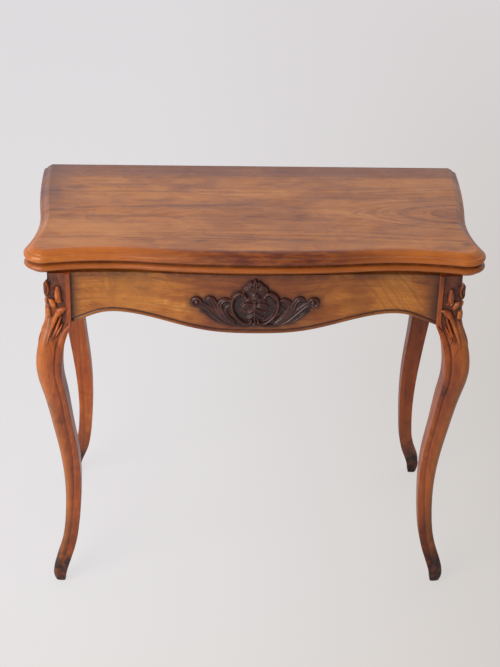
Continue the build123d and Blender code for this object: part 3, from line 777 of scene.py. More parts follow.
# Places of a leaf's rows: from its spine out to its rim, over its playing face, and into the baize's recess
outer_steps = (*np.linspace(0, 1, 14)[:-1], 0.99)
playing_steps = (0.02, 0.35, 0.7, 1.0)
recess_steps = (0.6, 1.0)
# How much darker the wood is where the recess's wall meets its floor
recess_darkening = 0.8


def leaf(profile, face_z, away, darkening_at):
    """One leaf as a skin: outer face, moulding, playing face and the baize's recess."""
    rim = leaf_outline(profile[0][0])
    foot = leaf_outline(profile[-1][0])
    cut = leaf_outline(baize_margin, False)
    rows = [(spine + (rim - spine) * step, leaf_thickness, 0.0, 0.0) for step in outer_steps]
    rows += [(leaf_outline(inset), height, darkening_at(inset, height), 1.0) for inset, height in profile]
    rows += [(foot + (cut - foot) * step, 0.0, 0.0, 0.0) for step in playing_steps]
    rows += [(cut, baize_recess, recess_darkening, 0.0)]
    rows += [(cut + (spine - cut) * step, baize_recess, 0.0, 0.0) for step in recess_steps]
    points, faces = skin([layered(plan, face_z + away * height) for plan, height, dirt_and_shade, moulded in rows])
    layers = {"dirt_and_shade": np.repeat([row[2] for row in rows], outline_count),
              "moulded": np.repeat([row[3] for row in rows], outline_count)}
    return points, faces, layers


let_in_gap = 0.0002
hinge_plate_thickness = 0.002
pivot_plate_thickness = 0.004
pivot_plate_corner = 0.006
cutter_reach = 0.004


def cut_box(made, low, high, corner=0.0):
    """Takes a box out of a piece, its upright edges rounded if asked."""
    middle = (Vector(low) + Vector(high)) / 2
    size = Vector(high) - Vector(low)
    cutter = bmesh.new()
    bmesh.ops.create_cube(cutter, size=1.0, matrix=Matrix.LocRotScale(middle, None, size))
    if corner:
        upright = [edge for edge in cutter.edges
                   if abs(edge.verts[0].co.z - edge.verts[1].co.z) > size.z / 2]
        bmesh.ops.bevel(cutter, geom=upright, offset=corner, segments=6, profile=0.5, affect="EDGES")
    tool = bpy.data.objects.new("cutter", bpy.data.meshes.new("cutter"))
    cutter.to_mesh(tool.data)
    cutter.free()
    bpy.context.collection.objects.link(tool)
    change = made.modifiers.new("cut", "BOOLEAN")
    change.object = tool
    change.operation = "DIFFERENCE"
    change.solver = "EXACT"
    graph = bpy.context.evaluated_depsgraph_get()
    whole, cut = made.data, bpy.data.meshes.new_from_object(made.evaluated_get(graph))
    made.modifiers.clear()
    made.data = cut
    bpy.data.meshes.remove(whole)
    bpy.data.objects.remove(tool)


def cut_hinge_mortises(made, face_z, away):
    """The room for both hinges in a leaf."""
    depth = hinge_plate_thickness + let_in_gap
    bottom, top = sorted((face_z - away * cutter_reach, face_z + away * depth))
    for side in ("left", "right"):
        low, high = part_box("hinge_plate_lower_" + side)
        cut_box(made, (low.x - let_in_gap, low.y - let_in_gap, bottom),
                (high.x + let_in_gap, leaf_back + cutter_reach, top))


def cut_pivot_recess(made):
    """The room for the pivot plate under the lower leaf."""
    low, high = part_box("pivot_plate")
    cut_box(made, (low.x - let_in_gap, low.y - let_in_gap, leaf_foot - cutter_reach),
            (high.x + let_in_gap, high.y + let_in_gap, leaf_foot + pivot_plate_thickness + let_in_gap),
            pivot_plate_corner + let_in_gap)


def make_baize(name, face_z, away, body):
    """The cloth in a leaf's recess, its upper side eased down at the edge."""
    edge = leaf_outline(baize_margin + baize_gap, False)
    steps = np.linspace(0, 1, baize_steps).tolist()
    above = [(step, baize_sunk + baize_ease * (step == 1)) for step in steps]
    below = [(step, baize_recess) for step in steps[::-1]]
    rows = [layered(spine + (edge - spine) * step, face_z + away * depth) for step, depth in above + below]
    made = piece(name + "_baize_cloth", name + "_baize", body, "baize", *skin(rows))


def make_leaves():
    leaves = (("upper", upper_profile(), upper_face, 1, "folding_leaf", upper_painted_shade),
              ("lower", lower_profile(), lower_face, -1, "turning_leaf", lower_painted_shade))
    for name, profile, face_z, away, body, darkening_at in leaves:
        made = piece(name + "_leaf_board", name + "_leaf", body, "top_walnut",
                     *leaf(profile, face_z, away, darkening_at), sharp=50.0)
        cut_hinge_mortises(made, face_z, away)
        if name == "lower":
            cut_pivot_recess(made)
    for name, profile, face_z, away, body, darkening_at in leaves:
        make_baize(name, face_z, away, body)


make_leaves()


# Legs

def leg_curves():
    """Outer and inner offsets of a leg beyond its post, by height."""
    rows = [(height * apron_foot, out * post_size, back * post_size) for height, out, back in leg_shares]
    outside = [(z, out) for z, out, back in rows]
    outside += [(apron_foot, shoulder_share * post_size), (shoulder_top, 0.0)]
    inside = [(z, back) for z, out, back in rows] + [(apron_foot, 0.0)]
    return spline(outside, curve_steps), spline(inside, curve_steps)


outer_curve, inner_curve = leg_curves()


def offset(curve, z, top):
    return np.where(z < top, np.interp(z, curve[:, 0], curve[:, 1]), 0.0)


def by_height(table, z):
    """A value from a table of (height, value)."""
    return np.interp(z, *zip(*table))


# Knee carving in millimetres: places are (inward from the post's outer face, height)
knee_strokes = in_metres((
    # the bud with its calyx and the small drop beside it
    ([(22.2, 675.5), (21.8, 664.0), (22.2, 651.0)], (4.4, 6.2, 6.6, 3.6), 7.0, -2.8, "round"),
    ([(17.5, 656.0), (18.8, 650.0), (22.5, 646.5)], (0.8, 2.2, 2.0), 6.2, -2.8, "round"),
    ([(27.2, 656.0), (25.8, 650.0), (22.5, 646.5)], (0.8, 2.0, 2.0), 6.2, -2.8, "round"),
    ([(27.8, 648.0)], (2.7,), 5.0, -2.8, "round"),
    # petal, berry and curl beside the arris; the curl and the arris leaf carry painted shade
    ([(6.0, 652.0), (10.0, 648.0), (13.0, 642.5), (15.5, 637.5)], (2.2, 5.6, 6.0, 2.4), 6.6, -2.6, "round"),
    ([(3.4, 631.0), (3.4, 621.0)], (4.0, 4.8), 5.6, -2.0, "round"),
    ([(-0.5, 646.0)], (3.2,), 4.6, -2.6, "round", 0.5),
    ([(0, 694.0), (2.0, 684.0), (3.0, 674.0), (1.0, 662.0)], (1.2, 4.0, 5.0, 3.0), 8.0, -2.8, "leaf", 0.6),
    # the leaf: a broad head that points inwards, the strip that runs from it down the arris, two side lobes
    ([(40.0, 634.5), (33.5, 633.0), (26.0, 628.5), (20.5, 621.5)], (0.6, 4.4, 7.2, 5.8), 6.8, -1.8, "round"),
    ([(23.0, 629.0), (16.5, 615.0), (8.0, 593.0), (1.0, 574.0), (-1.8, 560.0)],
     (5.2, 4.6, 3.8, 2.6, 0.6), 5.4, -1.6, "round"),
    ([(26.5, 617.0), (22.5, 605.0), (16.0, 589.0), (8.5, 574.0)], (1.6, 3.0, 2.8, 0.6), 5.8, -2.2, "round"),
    ([(28.5, 602.0), (24.0, 593.5), (18.0, 584.0), (14.0, 576.0)], (1.2, 2.7, 2.4, 0.6), 5.2, -2.4, "round"),
))
ground_depth = 0.0032
relief_limit = 0.0064
knee_foot = 0.552
knee_fade = 0.560
# The sunk ground's borders at the arris and at the strip, as (height, inward)
ground_start = ((0.556, -0.002), (0.575, 0.001), (0.599, 0.007), (0.6235, 0.0175), (0.634, 0.025))
ground_end = ((0.556, 0.0185), (0.573, 0.0225), (0.587, 0.0285), (0.600, 0.0345), (0.612, 0.0367))
# Heights where the ground comes in over the whole knee and beside the arris, and how soft its borders are
whole_ground, side_ground = (0.600, 0.618), (0.564, 0.600)
start_softness, end_softness = (-0.001, 0.003), (-0.0010, 0.0012)
# The strip along the leg's inner edge: its width and how strong its groove is, by height
strip_widths = ((0.0, 0.0135), (0.10, 0.0150), (0.2, 0.0140), (0.33, 0.0108), (0.45, 0.0115),
                (0.55, 0.0140), (0.587, 0.0135), (0.598, 0.0075), (0.601, 0.0066))
groove_strengths = ((0.0, 0.15), (0.12, 0.3), (0.3, 0.45), (0.42, 0.7), (0.52, 1.0),
                    (0.601, 1.0), (0.606, 0.0))
groove_width, groove_depth = 0.0018, 0.0019
strip_swell, crown_swell = 0.0010, 0.0017
inner_bevel = 0.0014
foot_bevel, foot_bevel_height = 0.0014, 0.003
# Dirt of the feet, as (strength, where it begins, where it is full), and the painted shade that darkens the
# right ones more
foot_dirt = ((0.62, 0.26, 0.03), (0.36, 0.082, 0.045))
right_foot_shade = (0.12, 0.2, 0.02)
# Heights of a leg's rings: at its foot, where its close ones begin, and how close they are
foot_rings = (0.0, 0.0012, 0.003)
knee_rings = 0.54
carved_ring_step, plain_ring_step = 0.0007, 0.006
# Points of a ring over a carved and a plain face, round the arris, and over the inner face
carved_columns, plain_columns, arris_columns, inner_columns = 72, 28, 6, 9


def knee_relief(inward, z):
    """How far the knee's surface stands out from the plain leg, its dirt and painted shade, and where the
    ground is sunk.
    """
    start, end = by_height(ground_start, z), by_height(ground_end, z)
    side = smooth_step(*side_ground, z) * smooth_step(*start_softness, inward - start)
    mask = np.maximum(smooth_step(*whole_ground, z), side) * smooth_step(*end_softness, end - inward)
    hammered = 0.0003 * np.sin(inward * 1900 + 3 * np.sin(z * 700)) * np.sin(z * 1700 + inward * 500)
    ground = (-ground_depth + hammered) * mask
    field, vein, near = carve(inward, z, knee_strokes)
    shown = (field > ground) & (z > knee_foot)
    relief = np.where(shown, np.minimum(field, relief_limit), ground)
    # Sunk ground, veins and the flanks of strokes are darkened with dirt and painted shade, and the upper
    # knee by the arris with painted shadow
    shadow = smooth_step(0.030, 0.008, inward) * smooth_step(0.640, 0.690, z) * 0.25
    deep = mask * (0.66 + 0.34 * near + shadow) + (1 - mask) * 0.55 * near * smooth_step(0.555, 0.57, z)
    flank = smooth_step(0.0012, -0.0016, field)
    dirt_and_shade = np.where(shown, np.maximum(vein, flank * 0.9), deep)
    return relief, np.clip(dirt_and_shade, 0, 1), mask


def leg_surface(lateral, up, far, inner, side, carved):
    """How far a face moves out, its dirt and painted shade, its wear and painted highlight, and the dirt of
    the foot alone, with painted shade on the right feet.
    """
    width, strength = by_height(strip_widths, up), by_height(groove_strengths, up)
    from_edge = lateral - inner
    groove = np.exp(-((from_edge - width) / groove_width)**2) * strength
    strip = np.clip(1 - ((from_edge - width / 2) / (width / 2))**2, 0, 1) * np.minimum(strength, 0.9)
    crown = np.sin(np.pi * np.clip((from_edge - width) / (far - inner - width), 0, 1)) * (up < apron_foot)
    move = strip * strip_swell + crown * crown_swell - groove * groove_depth
    inward = np.clip((far - lateral) / (far - inner), 0, 1)
    # Darker in the groove, with dirt and painted shade, and towards the inner edge as painted shade; lighter
    # towards the arris, with wear and a painted highlight.
    dirt_and_shade = groove * (0.12 + 0.6 * smooth_step(0.52, 0.60, up)) + 0.16 * smooth_step(0.25, 0.7, inward)
    wear_and_highlight = smooth_step(0.55, 0.05, inward)
    if carved:
        relief, deep, mask = knee_relief(-lateral, up)
        fade = smooth_step(knee_foot, knee_fade, up)
        move = move * (1 - mask * fade) + relief * fade
        dirt_and_shade = np.maximum(dirt_and_shade * (1 - mask), deep * fade)
        # Painted shadow under the top across the upper knee
        dirt_and_shade = np.maximum(dirt_and_shade, 0.55 * smooth_step(0.665, 0.705, up))
        wear_and_highlight = wear_and_highlight * (1 - deep)
    more = (right_foot_shade,) if side > 0 else ()
    foot = sum(strength * smooth_step(low, high, up) for strength, low, high in foot_dirt + more)
    return move, np.clip(np.maximum(dirt_and_shade, foot), 0, 1), wear_and_highlight, foot


def ring_heights(carved):
    """Heights of a leg's rings: close together where the knee is carved."""
    low = np.concatenate([foot_rings, np.linspace(0.008, knee_rings, 90)])
    step = carved_ring_step if carved else plain_ring_step
    return np.concatenate([low, np.arange(knee_rings + step, frame_top, step), [frame_top]])


def arris_line(z):
    """The arris is softer below the knee, and softest above the middle of the leg."""
    radius = arris_radius + 0.0030 * smooth_step(0.05, 0.3, z) + 0.0060 * np.exp(-((z - 0.47) / 0.1)**2)
    return np.where(z > 0.55, arris_radius + (radius - arris_radius) * smooth_step(0.62, 0.55, z), radius)


def leg(name, side, end, carved):
    """One leg from rings of its section. Both outer faces are alike, mirrored in the arris."""
    z = ring_heights(carved)[:, None]
    squeeze = foot_bevel * np.maximum(0.0, 1 - z / foot_bevel_height)
    far = offset(outer_curve, z, shoulder_top) - squeeze
    inner = offset(inner_curve, z, apron_foot) - post_size + squeeze
    radius = arris_line(z)
    t = np.linspace(0, 1, carved_columns if carved else plain_columns)[None, :]
    line = inner + inner_bevel + (far - radius - inner - inner_bevel) * t
    angle = np.radians(np.linspace(90, 45, arris_columns))[None, 1:]
    lateral = np.hstack([line, far - radius + radius * np.cos(angle)])
    outward = np.hstack([far + line * 0, far - radius + radius * np.sin(angle)])
    move, dirt_and_shade, wear_and_highlight, foot = leg_surface(lateral, z + lateral * 0, far, inner, side, carved)
    lateral = lateral + np.hstack([line * 0, np.cos(angle) + far * 0]) * move
    outward = outward + np.hstack([line * 0 + 1, np.sin(angle) + far * 0]) * move

    inside = inner + (far - inner) * np.linspace(0, 0.92, inner_columns)[None, :]
    a = np.hstack([inner + inside * 0, inner, inner + inner_bevel * 0.3, lateral])
    b = np.hstack([inside, far - inner_bevel, far - inner_bevel * 0.3, outward])
    blank = np.repeat(foot[:, :1], inner_columns + 2, axis=1)
    dirt_and_shade, wear_and_highlight = np.hstack([blank, dirt_and_shade]), np.hstack([blank * 0, wear_and_highlight]) * 0.6
    ring_a, ring_b, dirt_and_shade, wear_and_highlight = [np.hstack([first, second[:, -2:0:-1]])
                                  for first, second in ((a, b), (b, a), (dirt_and_shade, dirt_and_shade), (wear_and_highlight, wear_and_highlight))]
    points = np.stack([side * (post_x + ring_a), end * (post_y + ring_b), z + ring_a * 0], axis=-1)
    piece(name + ("_carved" if carved else "_shaped"), name, "table_frame", "leg_walnut",
          points.reshape(-1, 3), tube_faces(*ring_a.shape), {"dirt_and_shade": dirt_and_shade, "wear_and_highlight": wear_and_highlight}, sharp=48.0)


def make_legs():
    for end_name, end in (("front", -1), ("back", 1)):
        for side_name, side in (("left", -1), ("right", 1)):
            leg("leg_" + end_name + "_" + side_name, side, end, end < 0)


make_legs()


# Aprons. Lower edge: shares of the half width, then of the way to the arch, or back down to the post

bottom_edge_shares = ((0.0, 0.0), (0.25, 0.106), (0.41, 0.383), (0.573, 0.745), (0.684, 0.936), (0.766, 1.0))
bottom_return_shares = ((0.848, 0.125), (0.904, 0.417), (1.0, 1.0))
bow_shares = ((0.35, 0.45), (0.7, -0.5), (1.0, 0.0))
post_drop = frame_top - apron_foot
front_drops = (0.1236, 0.083)
side_drops = (0.110, 0.088)
apron_bow = 0.006
face_y = -(post_y - apron_setback)
# The bead along an apron's lower edge: (out from the face, up from the edge, dirt and painted shade, red
# stain)
bead_profile = (
    (-0.0030, 0.0000, 0.2, 0.4), (-0.0012, 0.0003, 0.0, 0.45), (-0.0003, 0.0012, 0.0, 0.5),
    (0.0001, 0.0026, 0.0, 0.5), (0.0002, 0.0038, 0.0, 0.5), (0.0000, 0.0050, 0.1, 0.6),
    (-0.0005, 0.0059, 0.45, 0.8), (-0.0013, 0.0066, 0.8, 1.0), (-0.0015, 0.0072, 0.9, 1.0),
    (-0.0013, 0.0078, 0.9, 1.0), (-0.0006, 0.0085, 0.75, 0.9), (-0.0001, 0.0094, 0.4, 0.6),
    (0.0, 0.0104, 0.15, 0.25),
)
bead_height = 0.0125
face_rows, front_columns, side_columns, edge_steps = 44, 300, 120, 900


def bottom_line(half, centre_drop, arch_drop):
    """Height of an apron's shaped lower edge, by place along it."""
    to_arch, to_post = centre_drop - arch_drop, post_drop - arch_drop
    right = [(a * half, frame_top - centre_drop + s * to_arch) for a, s in bottom_edge_shares]
    right += [(a * half, frame_top - arch_drop - s * to_post) for a, s in bottom_return_shares]
    return spline([(-x, z) for x, z in right[:0:-1]] + right, edge_steps)


def bow_curve():
    right = [(a * seam_x, face_y - s * apron_bow) for a, s in bow_shares]
    return spline([(-x, y) for x, y in right[::-1]] + [(0.0, face_y - apron_bow)] + right, curve_steps)


bow = bow_curve()


def apron_face(x):
    """The front apron's face, by place along it."""
    return np.interp(x, bow[:, 0], bow[:, 1])


def apron(name, node_name, half, drops, face, back, turned, count, darkening_at):
    """An apron made along X: its bead, face, top and back over its shaped lower edge."""
    edge = bottom_line(half, *drops)
    rows = []
    for x in np.linspace(-half, half, count):
        foot, front = np.interp(x, edge[:, 0], edge[:, 1]), face(x)
        row = [(x, back, foot, 0.3, 0.0), (x, back + (front - back) * 0.5, foot, 0.2, 0.0)]
        row += [(x, front - out, foot + up, max(dark, 0.8 * darkening_at(x, foot + up)), stain)
                for out, up, dark, stain in bead_profile]
        heights = np.linspace(foot + bead_height, frame_top, face_rows)
        row += [(x, front, z, darkening_at(x, z), 0.0) for z in heights]
        rows.append(row + [(x, back, frame_top, 0.0, 0.0), (x, back, (frame_top + foot) / 2, 0.1, 0.0)])
    x, y, z, dirt_and_shade, stain = np.array(rows).reshape(-1, 5).T
    points = np.column_stack([-turned * y, x, z] if turned else [x, y, z])
    piece(name, node_name, "table_frame", "apron_walnut", points, tube_faces(count, len(rows[0])),
          {"dirt_and_shade": dirt_and_shade, "stain": stain}, sharp=50.0)


# The carving in the middle of the front apron, in millimetres from its foot
centre_strokes = mirrored(in_metres((
    # dark ground that ties the wings together
    ([(44, 40), (56, 40), (68, 42), (82, 48), (98, 48)], (9, 12, 12, 8, 5), 0.4, 1.0, "flat"),
    ([(30, 8), (52, 14), (72, 24), (88, 34), (102, 45)], (5, 10, 11, 10, 7), 0.4, 0.8, "flat"),
    ([(0, 70), (8, 74), (14, 76)], (9, 8, 5), 0.4, 2.2, "flat"),
    # cartouche rim: a scroll that rolls in at its head and at its foot
    ([(19.5, 68), (25, 71.5), (33, 70), (40, 63.5), (43.3, 53), (43.3, 42), (38.5, 28), (30, 17),
      (19.5, 9.5), (9, 9.5), (6, 15)],
     (2.2, 2.9, 3.3, 3.4, 3.3, 3.2, 3.0, 3.0, 2.9, 2.6, 2.0), 5.0, 3.6, "round"),
    ([(18.5, 64.5)], (3.6,), 4.6, 3.6, "round"),
    # crest: outer and middle lobes
    ([(20.5, 73), (20.5, 78), (16, 83.5), (9.5, 83), (5.5, 77)],
     (1.4, 4.2, 4.8, 4.4, 2.4), 4.6, 3.4, "leaf"),
    ([(13, 82), (11.5, 88), (6, 92), (2, 88)], (1.4, 4.0, 4.2, 2.6), 4.8, 4.0, "leaf"),
    # petals beside the middle
    ([(3, 43.5), (10, 47), (18, 46.5), (26, 44.5)], (2.8, 5.0, 4.8, 1.0), 3.8, 2.2, "leaf"),
    ([(3, 37), (9, 33.5), (17, 32), (24, 35.5)], (2.2, 3.8, 3.8, 1.0), 3.2, 1.8, "leaf"),
    ([(3, 27), (8.5, 22.5), (15, 19.5), (21, 22)], (2.0, 3.8, 3.8, 1.2), 3.0, 1.6, "leaf"),
    ([(3, 56), (9, 59.5), (15, 58), (21, 53)], (2.0, 3.8, 3.6, 1.0), 3.2, 2.0, "leaf"),
    # first wing lobe, hooked round the rim
    ([(45, 54), (52, 57), (60.5, 55), (66, 48), (65.5, 38), (60, 27), (52, 16), (41, 8.5)],
     (1.6, 3.6, 4.8, 5.8, 6.2, 6.0, 5.2, 3.4), 4.0, 1.8, "leaf"),
    ([(48.5, 44), (54, 39), (54, 29), (47, 19), (38, 11)], (1.0, 3.0, 3.6, 3.4, 2.2), 3.0, 1.4, "leaf"),
    # second wing lobe, curled outwards at its head
    ([(92, 57), (87.5, 60), (81, 58.5), (76, 52), (71, 42), (64, 29), (55, 17), (45, 8.5)],
     (2.4, 4.4, 5.4, 6.0, 6.2, 5.8, 5.0, 3.2), 4.2, 1.6, "leaf"),
    ([(85, 50), (81, 41), (74.5, 31), (65, 20)], (1.0, 3.2, 3.8, 2.6), 2.8, 1.0, "leaf"),
    # the long stem to the tip's scroll
    ([(111, 47), (103, 48), (94, 44), (83, 34), (72, 23.5), (60, 13), (46, 6), (30, 3.5)],
     (4.0, 5.4, 6.2, 6.4, 6.0, 5.2, 4.4, 3.0), 3.8, 0.9, "leaf"),
    ([(101, 54), (106, 58.2), (113, 58.4), (117.8, 53), (116.2, 46), (109.5, 43)],
     (2.2, 3.0, 3.2, 3.2, 3.0, 2.6), 4.6, 1.4, "round"),
    ([(109.6, 51)], (5.4,), 5.6, 1.6, "round"),
    ([(102, 32.5), (94, 29), (84, 21.5), (73, 13), (62, 7)], (1.2, 3.4, 4.0, 3.6, 1.8), 3.0, 0.4, "leaf"),
    # low leaves along the foot
    ([(42, 4.5), (30, 3.6), (16, 4.2), (4, 6.5)], (1.6, 3.4, 3.6, 3.2), 3.4, 1.2, "leaf"),
), carving_low.z)) + in_metres((
    # the middle line: crest leaf, boss, berry and stem
    ([(0, 97.5), (0, 91), (0, 84), (0, 77)], (1.8, 4.4, 5.0, 2.6), 5.0, 4.6, "leaf"),
    ([(0, 65.5)], (8.0,), 5.0, 3.2, "round"),
    ([(0, 54), (0, 46), (0, 40)], (2.4, 4.8, 2.8), 4.0, 2.6, "round"),
    ([(0, 34), (0, 24), (0, 14), (0, 5)], (1.4, 2.2, 2.4, 4.4), 3.4, 1.8, "round"),
), carving_low.z)
# The hollowed ground inside the rim: the middle and half sizes of its oval, and its height
hollow_middle = carving_low.z + 0.041
hollow_size = (0.040, 0.033)
hollow_height = 0.0014
carving_step = 0.0006
carving_back = 0.0012
# Room at the sides, below and above, the lowest height kept, and how often a height is averaged
carving_margins = (0.004, 0.003, 0.005)
lowest_kept, lowest = -0.0008, -0.0009
soft_turns, wide_turns = 2, 14


def centre_relief(x, z):
    """Height of the carving over the apron's face, and its veins."""
    field, vein, near = carve(x, z, centre_strokes)
    inside = (x / hollow_size[0])**2 + ((z - hollow_middle) / hollow_size[1])**2 < 1.0
    return np.maximum(field, np.where(inside, hollow_height, -1.0)), vein


def make_carving():
    """The carving as a raised sheet, closed behind the apron's face."""
    side, below, above = carving_margins
    across, up = np.meshgrid(np.arange(-carving_high.x - side, carving_high.x + side, carving_step),
                             np.arange(carving_low.z - below, carving_high.z + above, carving_step))
    height, vein = centre_relief(across, up)
    height = np.maximum(softened(height, soft_turns), lowest)
    kept = height > lowest_kept
    cells = kept[:-1, :-1] | kept[1:, :-1] | kept[:-1, 1:] | kept[1:, 1:]
    number = np.arange(across.size).reshape(across.shape)
    rows, columns = np.nonzero(cells)
    quads = np.stack([number[rows, columns], number[rows, columns + 1],
                      number[rows + 1, columns + 1], number[rows + 1, columns]], axis=1)
    face = apron_face(across)
    front = np.stack([across, face - height, up], axis=-1).reshape(-1, 3)
    back = np.stack([across, face + carving_back, up], axis=-1).reshape(-1, 3)
    count = len(front)
    faces = quads.tolist() + (quads + count)[:, ::-1].tolist()
    edges = dict.fromkeys((a, b) for q in quads.tolist() for a, b in zip(q, q[1:] + q[:1]))
    faces += [(b, a, a + count, b + count) for a, b in edges if (b, a) not in edges]
    used = np.zeros(2 * count, bool)
    used[np.concatenate([quads.ravel(), quads.ravel() + count])] = True
    renumber = (np.cumsum(used) - 1).tolist()
    faces = [tuple(renumber[k] for k in corners) for corners in faces]
    # Darker in hollows and low ground, with dirt and painted shade; lighter on high places, with wear and a
    # painted highlight
    raised = height - softened(height, wide_turns)
    dirt_and_shade = np.maximum(smooth_step(0.0002, -0.0016, raised), vein * 0.8)
    dirt_and_shade = np.maximum(dirt_and_shade, smooth_step(0.0036, 0.0008, height)) * 0.8
    wear_and_highlight = smooth_step(0.0004, 0.0018, raised) * 0.7
    layers = {"dirt_and_shade": np.tile(dirt_and_shade.ravel(), 2)[used], "wear_and_highlight": np.tile(wear_and_highlight.ravel(), 2)[used]}
    piece("apron_cartouche", "apron_carving", "table_frame", "carved_walnut",
          np.concatenate([front, back])[used], faces, layers, sharp=65.0)


def front_darkening_field():
    """Darkening of the front apron: painted shadow round the carving and under the top, and dirt with
    painted shade at the seams.
    """
    x = np.linspace(-seam_x, seam_x, 300)
    z = np.linspace(0.575, frame_top, 60)
    across, up = np.meshgrid(x, z)
    near = np.exp(np.minimum(centre_relief(across, up)[0], 0) / 0.012) * 0.8
    seam = np.exp(-(seam_x - np.abs(across)) / np.where(across > 0, 0.013, 0.009)) * 0.85
    top = np.exp(-(frame_top - up) / 0.011) * 0.75
    return x, z, np.clip(np.maximum(np.maximum(near, seam), top), 0, 1)


def make_aprons():
    x_line, z_line, field = front_darkening_field()

    def front_darkening(x, z):
        column = int(round(np.interp(x, x_line, np.arange(len(x_line)))))
        return float(np.interp(z, z_line, field[:, column]))

    def side_face(x):
        return apron_setback - post_x

    # Darker at the seams, with dirt and painted shade, and under the top, as painted shadow
    def side_darkening(x, z):
        return 0.6 * math.exp(-(seam_y - abs(x)) / 0.006) + 0.3 * math.exp(-(frame_top - z) / 0.006)

    apron("front_apron_bowed", "front_apron", seam_x, front_drops, apron_face, -inner_y, 0,
          front_columns, front_darkening)
    for name, side in (("side_apron_left", -1), ("side_apron_right", 1)):
        apron(name + "_shaped", name, seam_y, side_drops, side_face, -inner_x, side, side_columns, side_darkening)


make_aprons()
make_carving()


# Construction that keeps its own shape

def dress_nodes():
    """Finishes for the nodes that are shown as they were made."""
    finishes = {
        "inner_beech": ("back_apron", "swivel_board", "well_divider", "well_floor", "well_battens",
                        "corner_blocks", "stop_peg"),
        "hinge_brass": [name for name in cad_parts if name.startswith("hinge_")],
        "pivot_iron": [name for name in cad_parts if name.startswith("pivot_")],
    }
    for finish, names in finishes.items():
        for name in names:
            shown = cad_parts[name]
            for place in shown.material_slots:
                place.material = materials[finish]
            if name != "stop_peg":
                shown.data.shade_smooth()
                shown.data.set_sharp_from_angle(angle=math.radians(30))


dress_nodes()


# Room, light and camera

backdrop = colour(222, 218, 221)
white = (1.0, 1.0, 1.0, 1.0)
floor_radius = 40.0
# Where the floor's fade and its tints begin and end
floor_fade = (2.3, 6.5)
warm_side, far_side, near_side, near_floor = (-0.45, 1.30), (-0.2, 3.2), (-0.85, -0.15), (1.2, 2.8)


def make_floor():
    """Pale paper, a little warmer near the camera and darker and warmer to the right as painted shade, that
    fades into the backdrop.
    """
    mesh = bpy.data.meshes.new("floor")
    ring = bmesh.new()
    bmesh.ops.create_circle(ring, cap_ends=True, radius=floor_radius, segments=64)
    ring.to_mesh(mesh)
    ring.free()
    floor = bpy.data.objects.new("floor", mesh)
    bpy.context.collection.objects.link(floor)
    made, paint = new_material("floor_paper")
    x, y, z = paint.parts(paint.flat)
    distance = paint.length(paint.flat)
    # Painted shade: darker and warmer to the right, away from the key lamp
    warm = paint.span(x, *warm_side)
    paint.base = paint.mix(warm, colour(234, 231, 232), colour(207, 201, 192))
    paint.over((234, 230, 233), paint.span(y, *far_side), 0.6)
    near = paint.times(paint.span(y, *near_side, 0.8, 0.0), paint.span(distance, *near_floor, 1.0, 0.0))
    near_tint = paint.mix(warm, colour(230, 225, 219), colour(206, 199, 188))
    base = paint.mix(near, paint.base, near_tint)
    base = paint.mix(paint.span(distance, *floor_fade), base, backdrop)
    shader = paint.tree.nodes["Principled BSDF"]
    paint.wire(shader.inputs["Base Color"], base)
    shader.inputs["Roughness"].default_value = 0.9
    shader.inputs["Specular IOR Level"].default_value = 0.1
    glow = paint.node("Emission", {"Color": base, "Strength": 1.0})
    camera_ray = paint.node("LightPath").outputs["Is Camera Ray"]
    share = paint.times(camera_ray, paint.span(distance, *floor_fade, 0.8, 1.0))
    mixed = paint.node("MixShader", {0: share, 1: shader.outputs[0], 2: glow.outputs[0]})
    paint.wire(paint.tree.nodes["Material Output"].inputs["Surface"], mixed.outputs[0])
    mesh.materials.append(made)


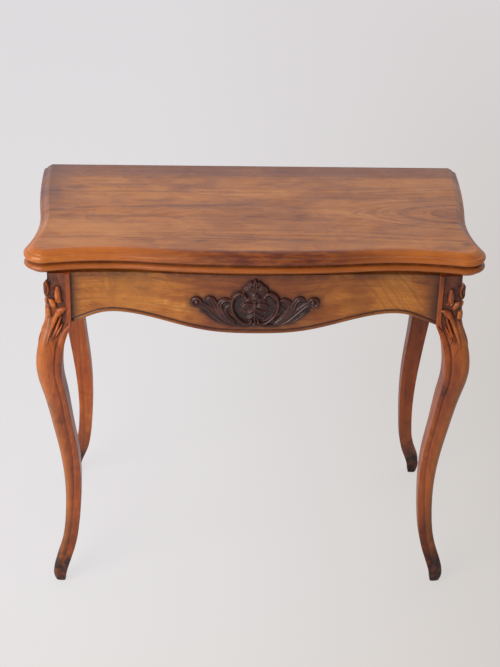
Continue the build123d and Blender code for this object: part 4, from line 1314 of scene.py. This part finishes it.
def make_world():
    """A pale room, brighter behind the table and to its left than in front of it."""
    world = bpy.data.worlds.new("studio")
    bpy.context.scene.world = world
    world.use_nodes = True
    paint = Paint(world.node_tree, "Generated")
    rays = paint.node("LightPath").outputs
    x, y, z = paint.parts(paint.flat)
    room = paint.times(paint.span(y, -0.5, 0.5, 0.2, 1.0), paint.span(x, -0.7, 0.7, 1.12, 0.78))
    seen = paint.math("MAXIMUM", rays["Is Camera Ray"], rays["Is Transmission Ray"])
    glossy = rays["Is Glossy Ray"]
    level = paint.mix(glossy, (0.8, 0.8, 0.8, 1.0), white)
    tint = paint.mix(paint.math("MAXIMUM", seen, glossy), (0.93, 0.94, 1.0, 1.0), backdrop)
    background = paint.tree.nodes["Background"].inputs
    paint.wire(background["Color"], tint)
    paint.wire(background["Strength"], paint.mix(seen, paint.times(room, level), white))


lamp_aim = (0.0, 0.0, 0.55)


def lamp(name, place, power, size, tint):
    """A round lamp aimed at the middle of the table."""
    light = bpy.data.lights.new(name, "AREA")
    light.shape = "DISK"
    light.size = size
    light.energy = power
    light.color = tint
    made = bpy.data.objects.new(name, light)
    made.location = place
    made.rotation_euler = (Vector(lamp_aim) - Vector(place)).to_track_quat("-Z", "Y").to_euler()
    bpy.context.collection.objects.link(made)


# The photograph's viewpoint: place, angles in radians, focal length and height in pixels
camera_place = (-0.093918, -2.728180, 1.965171)
yaw, pitch, roll = 0.0339972, 0.5010262, 0.0232267
focal_pixels, frame_pixels = 1519.504, 667
sensor_width = 36.0


def make_camera():
    """The photograph's own viewpoint."""
    lens = bpy.data.cameras.new("camera")
    lens.sensor_width = sensor_width
    lens.lens = focal_pixels * sensor_width / frame_pixels
    camera = bpy.data.objects.new("camera", lens)
    level = Matrix.Rotation(-yaw, 4, "Z") @ Matrix.Rotation(math.pi / 2 - pitch, 4, "X")
    camera.matrix_world = Matrix.Translation(camera_place) @ level @ Matrix.Rotation(roll, 4, "Z")
    bpy.context.collection.objects.link(camera)
    bpy.context.scene.camera = camera


make_floor()
make_world()
lamp("key", (-1.75, -1.75, 1.9), 62.0, 2.4, (1.0, 0.97, 0.93))
lamp("fill", (2.0, -1.9, 1.7), 4.0, 1.8, (0.96, 0.98, 1.0))
make_camera()
bpy.context.scene.view_settings.view_transform = "Standard"
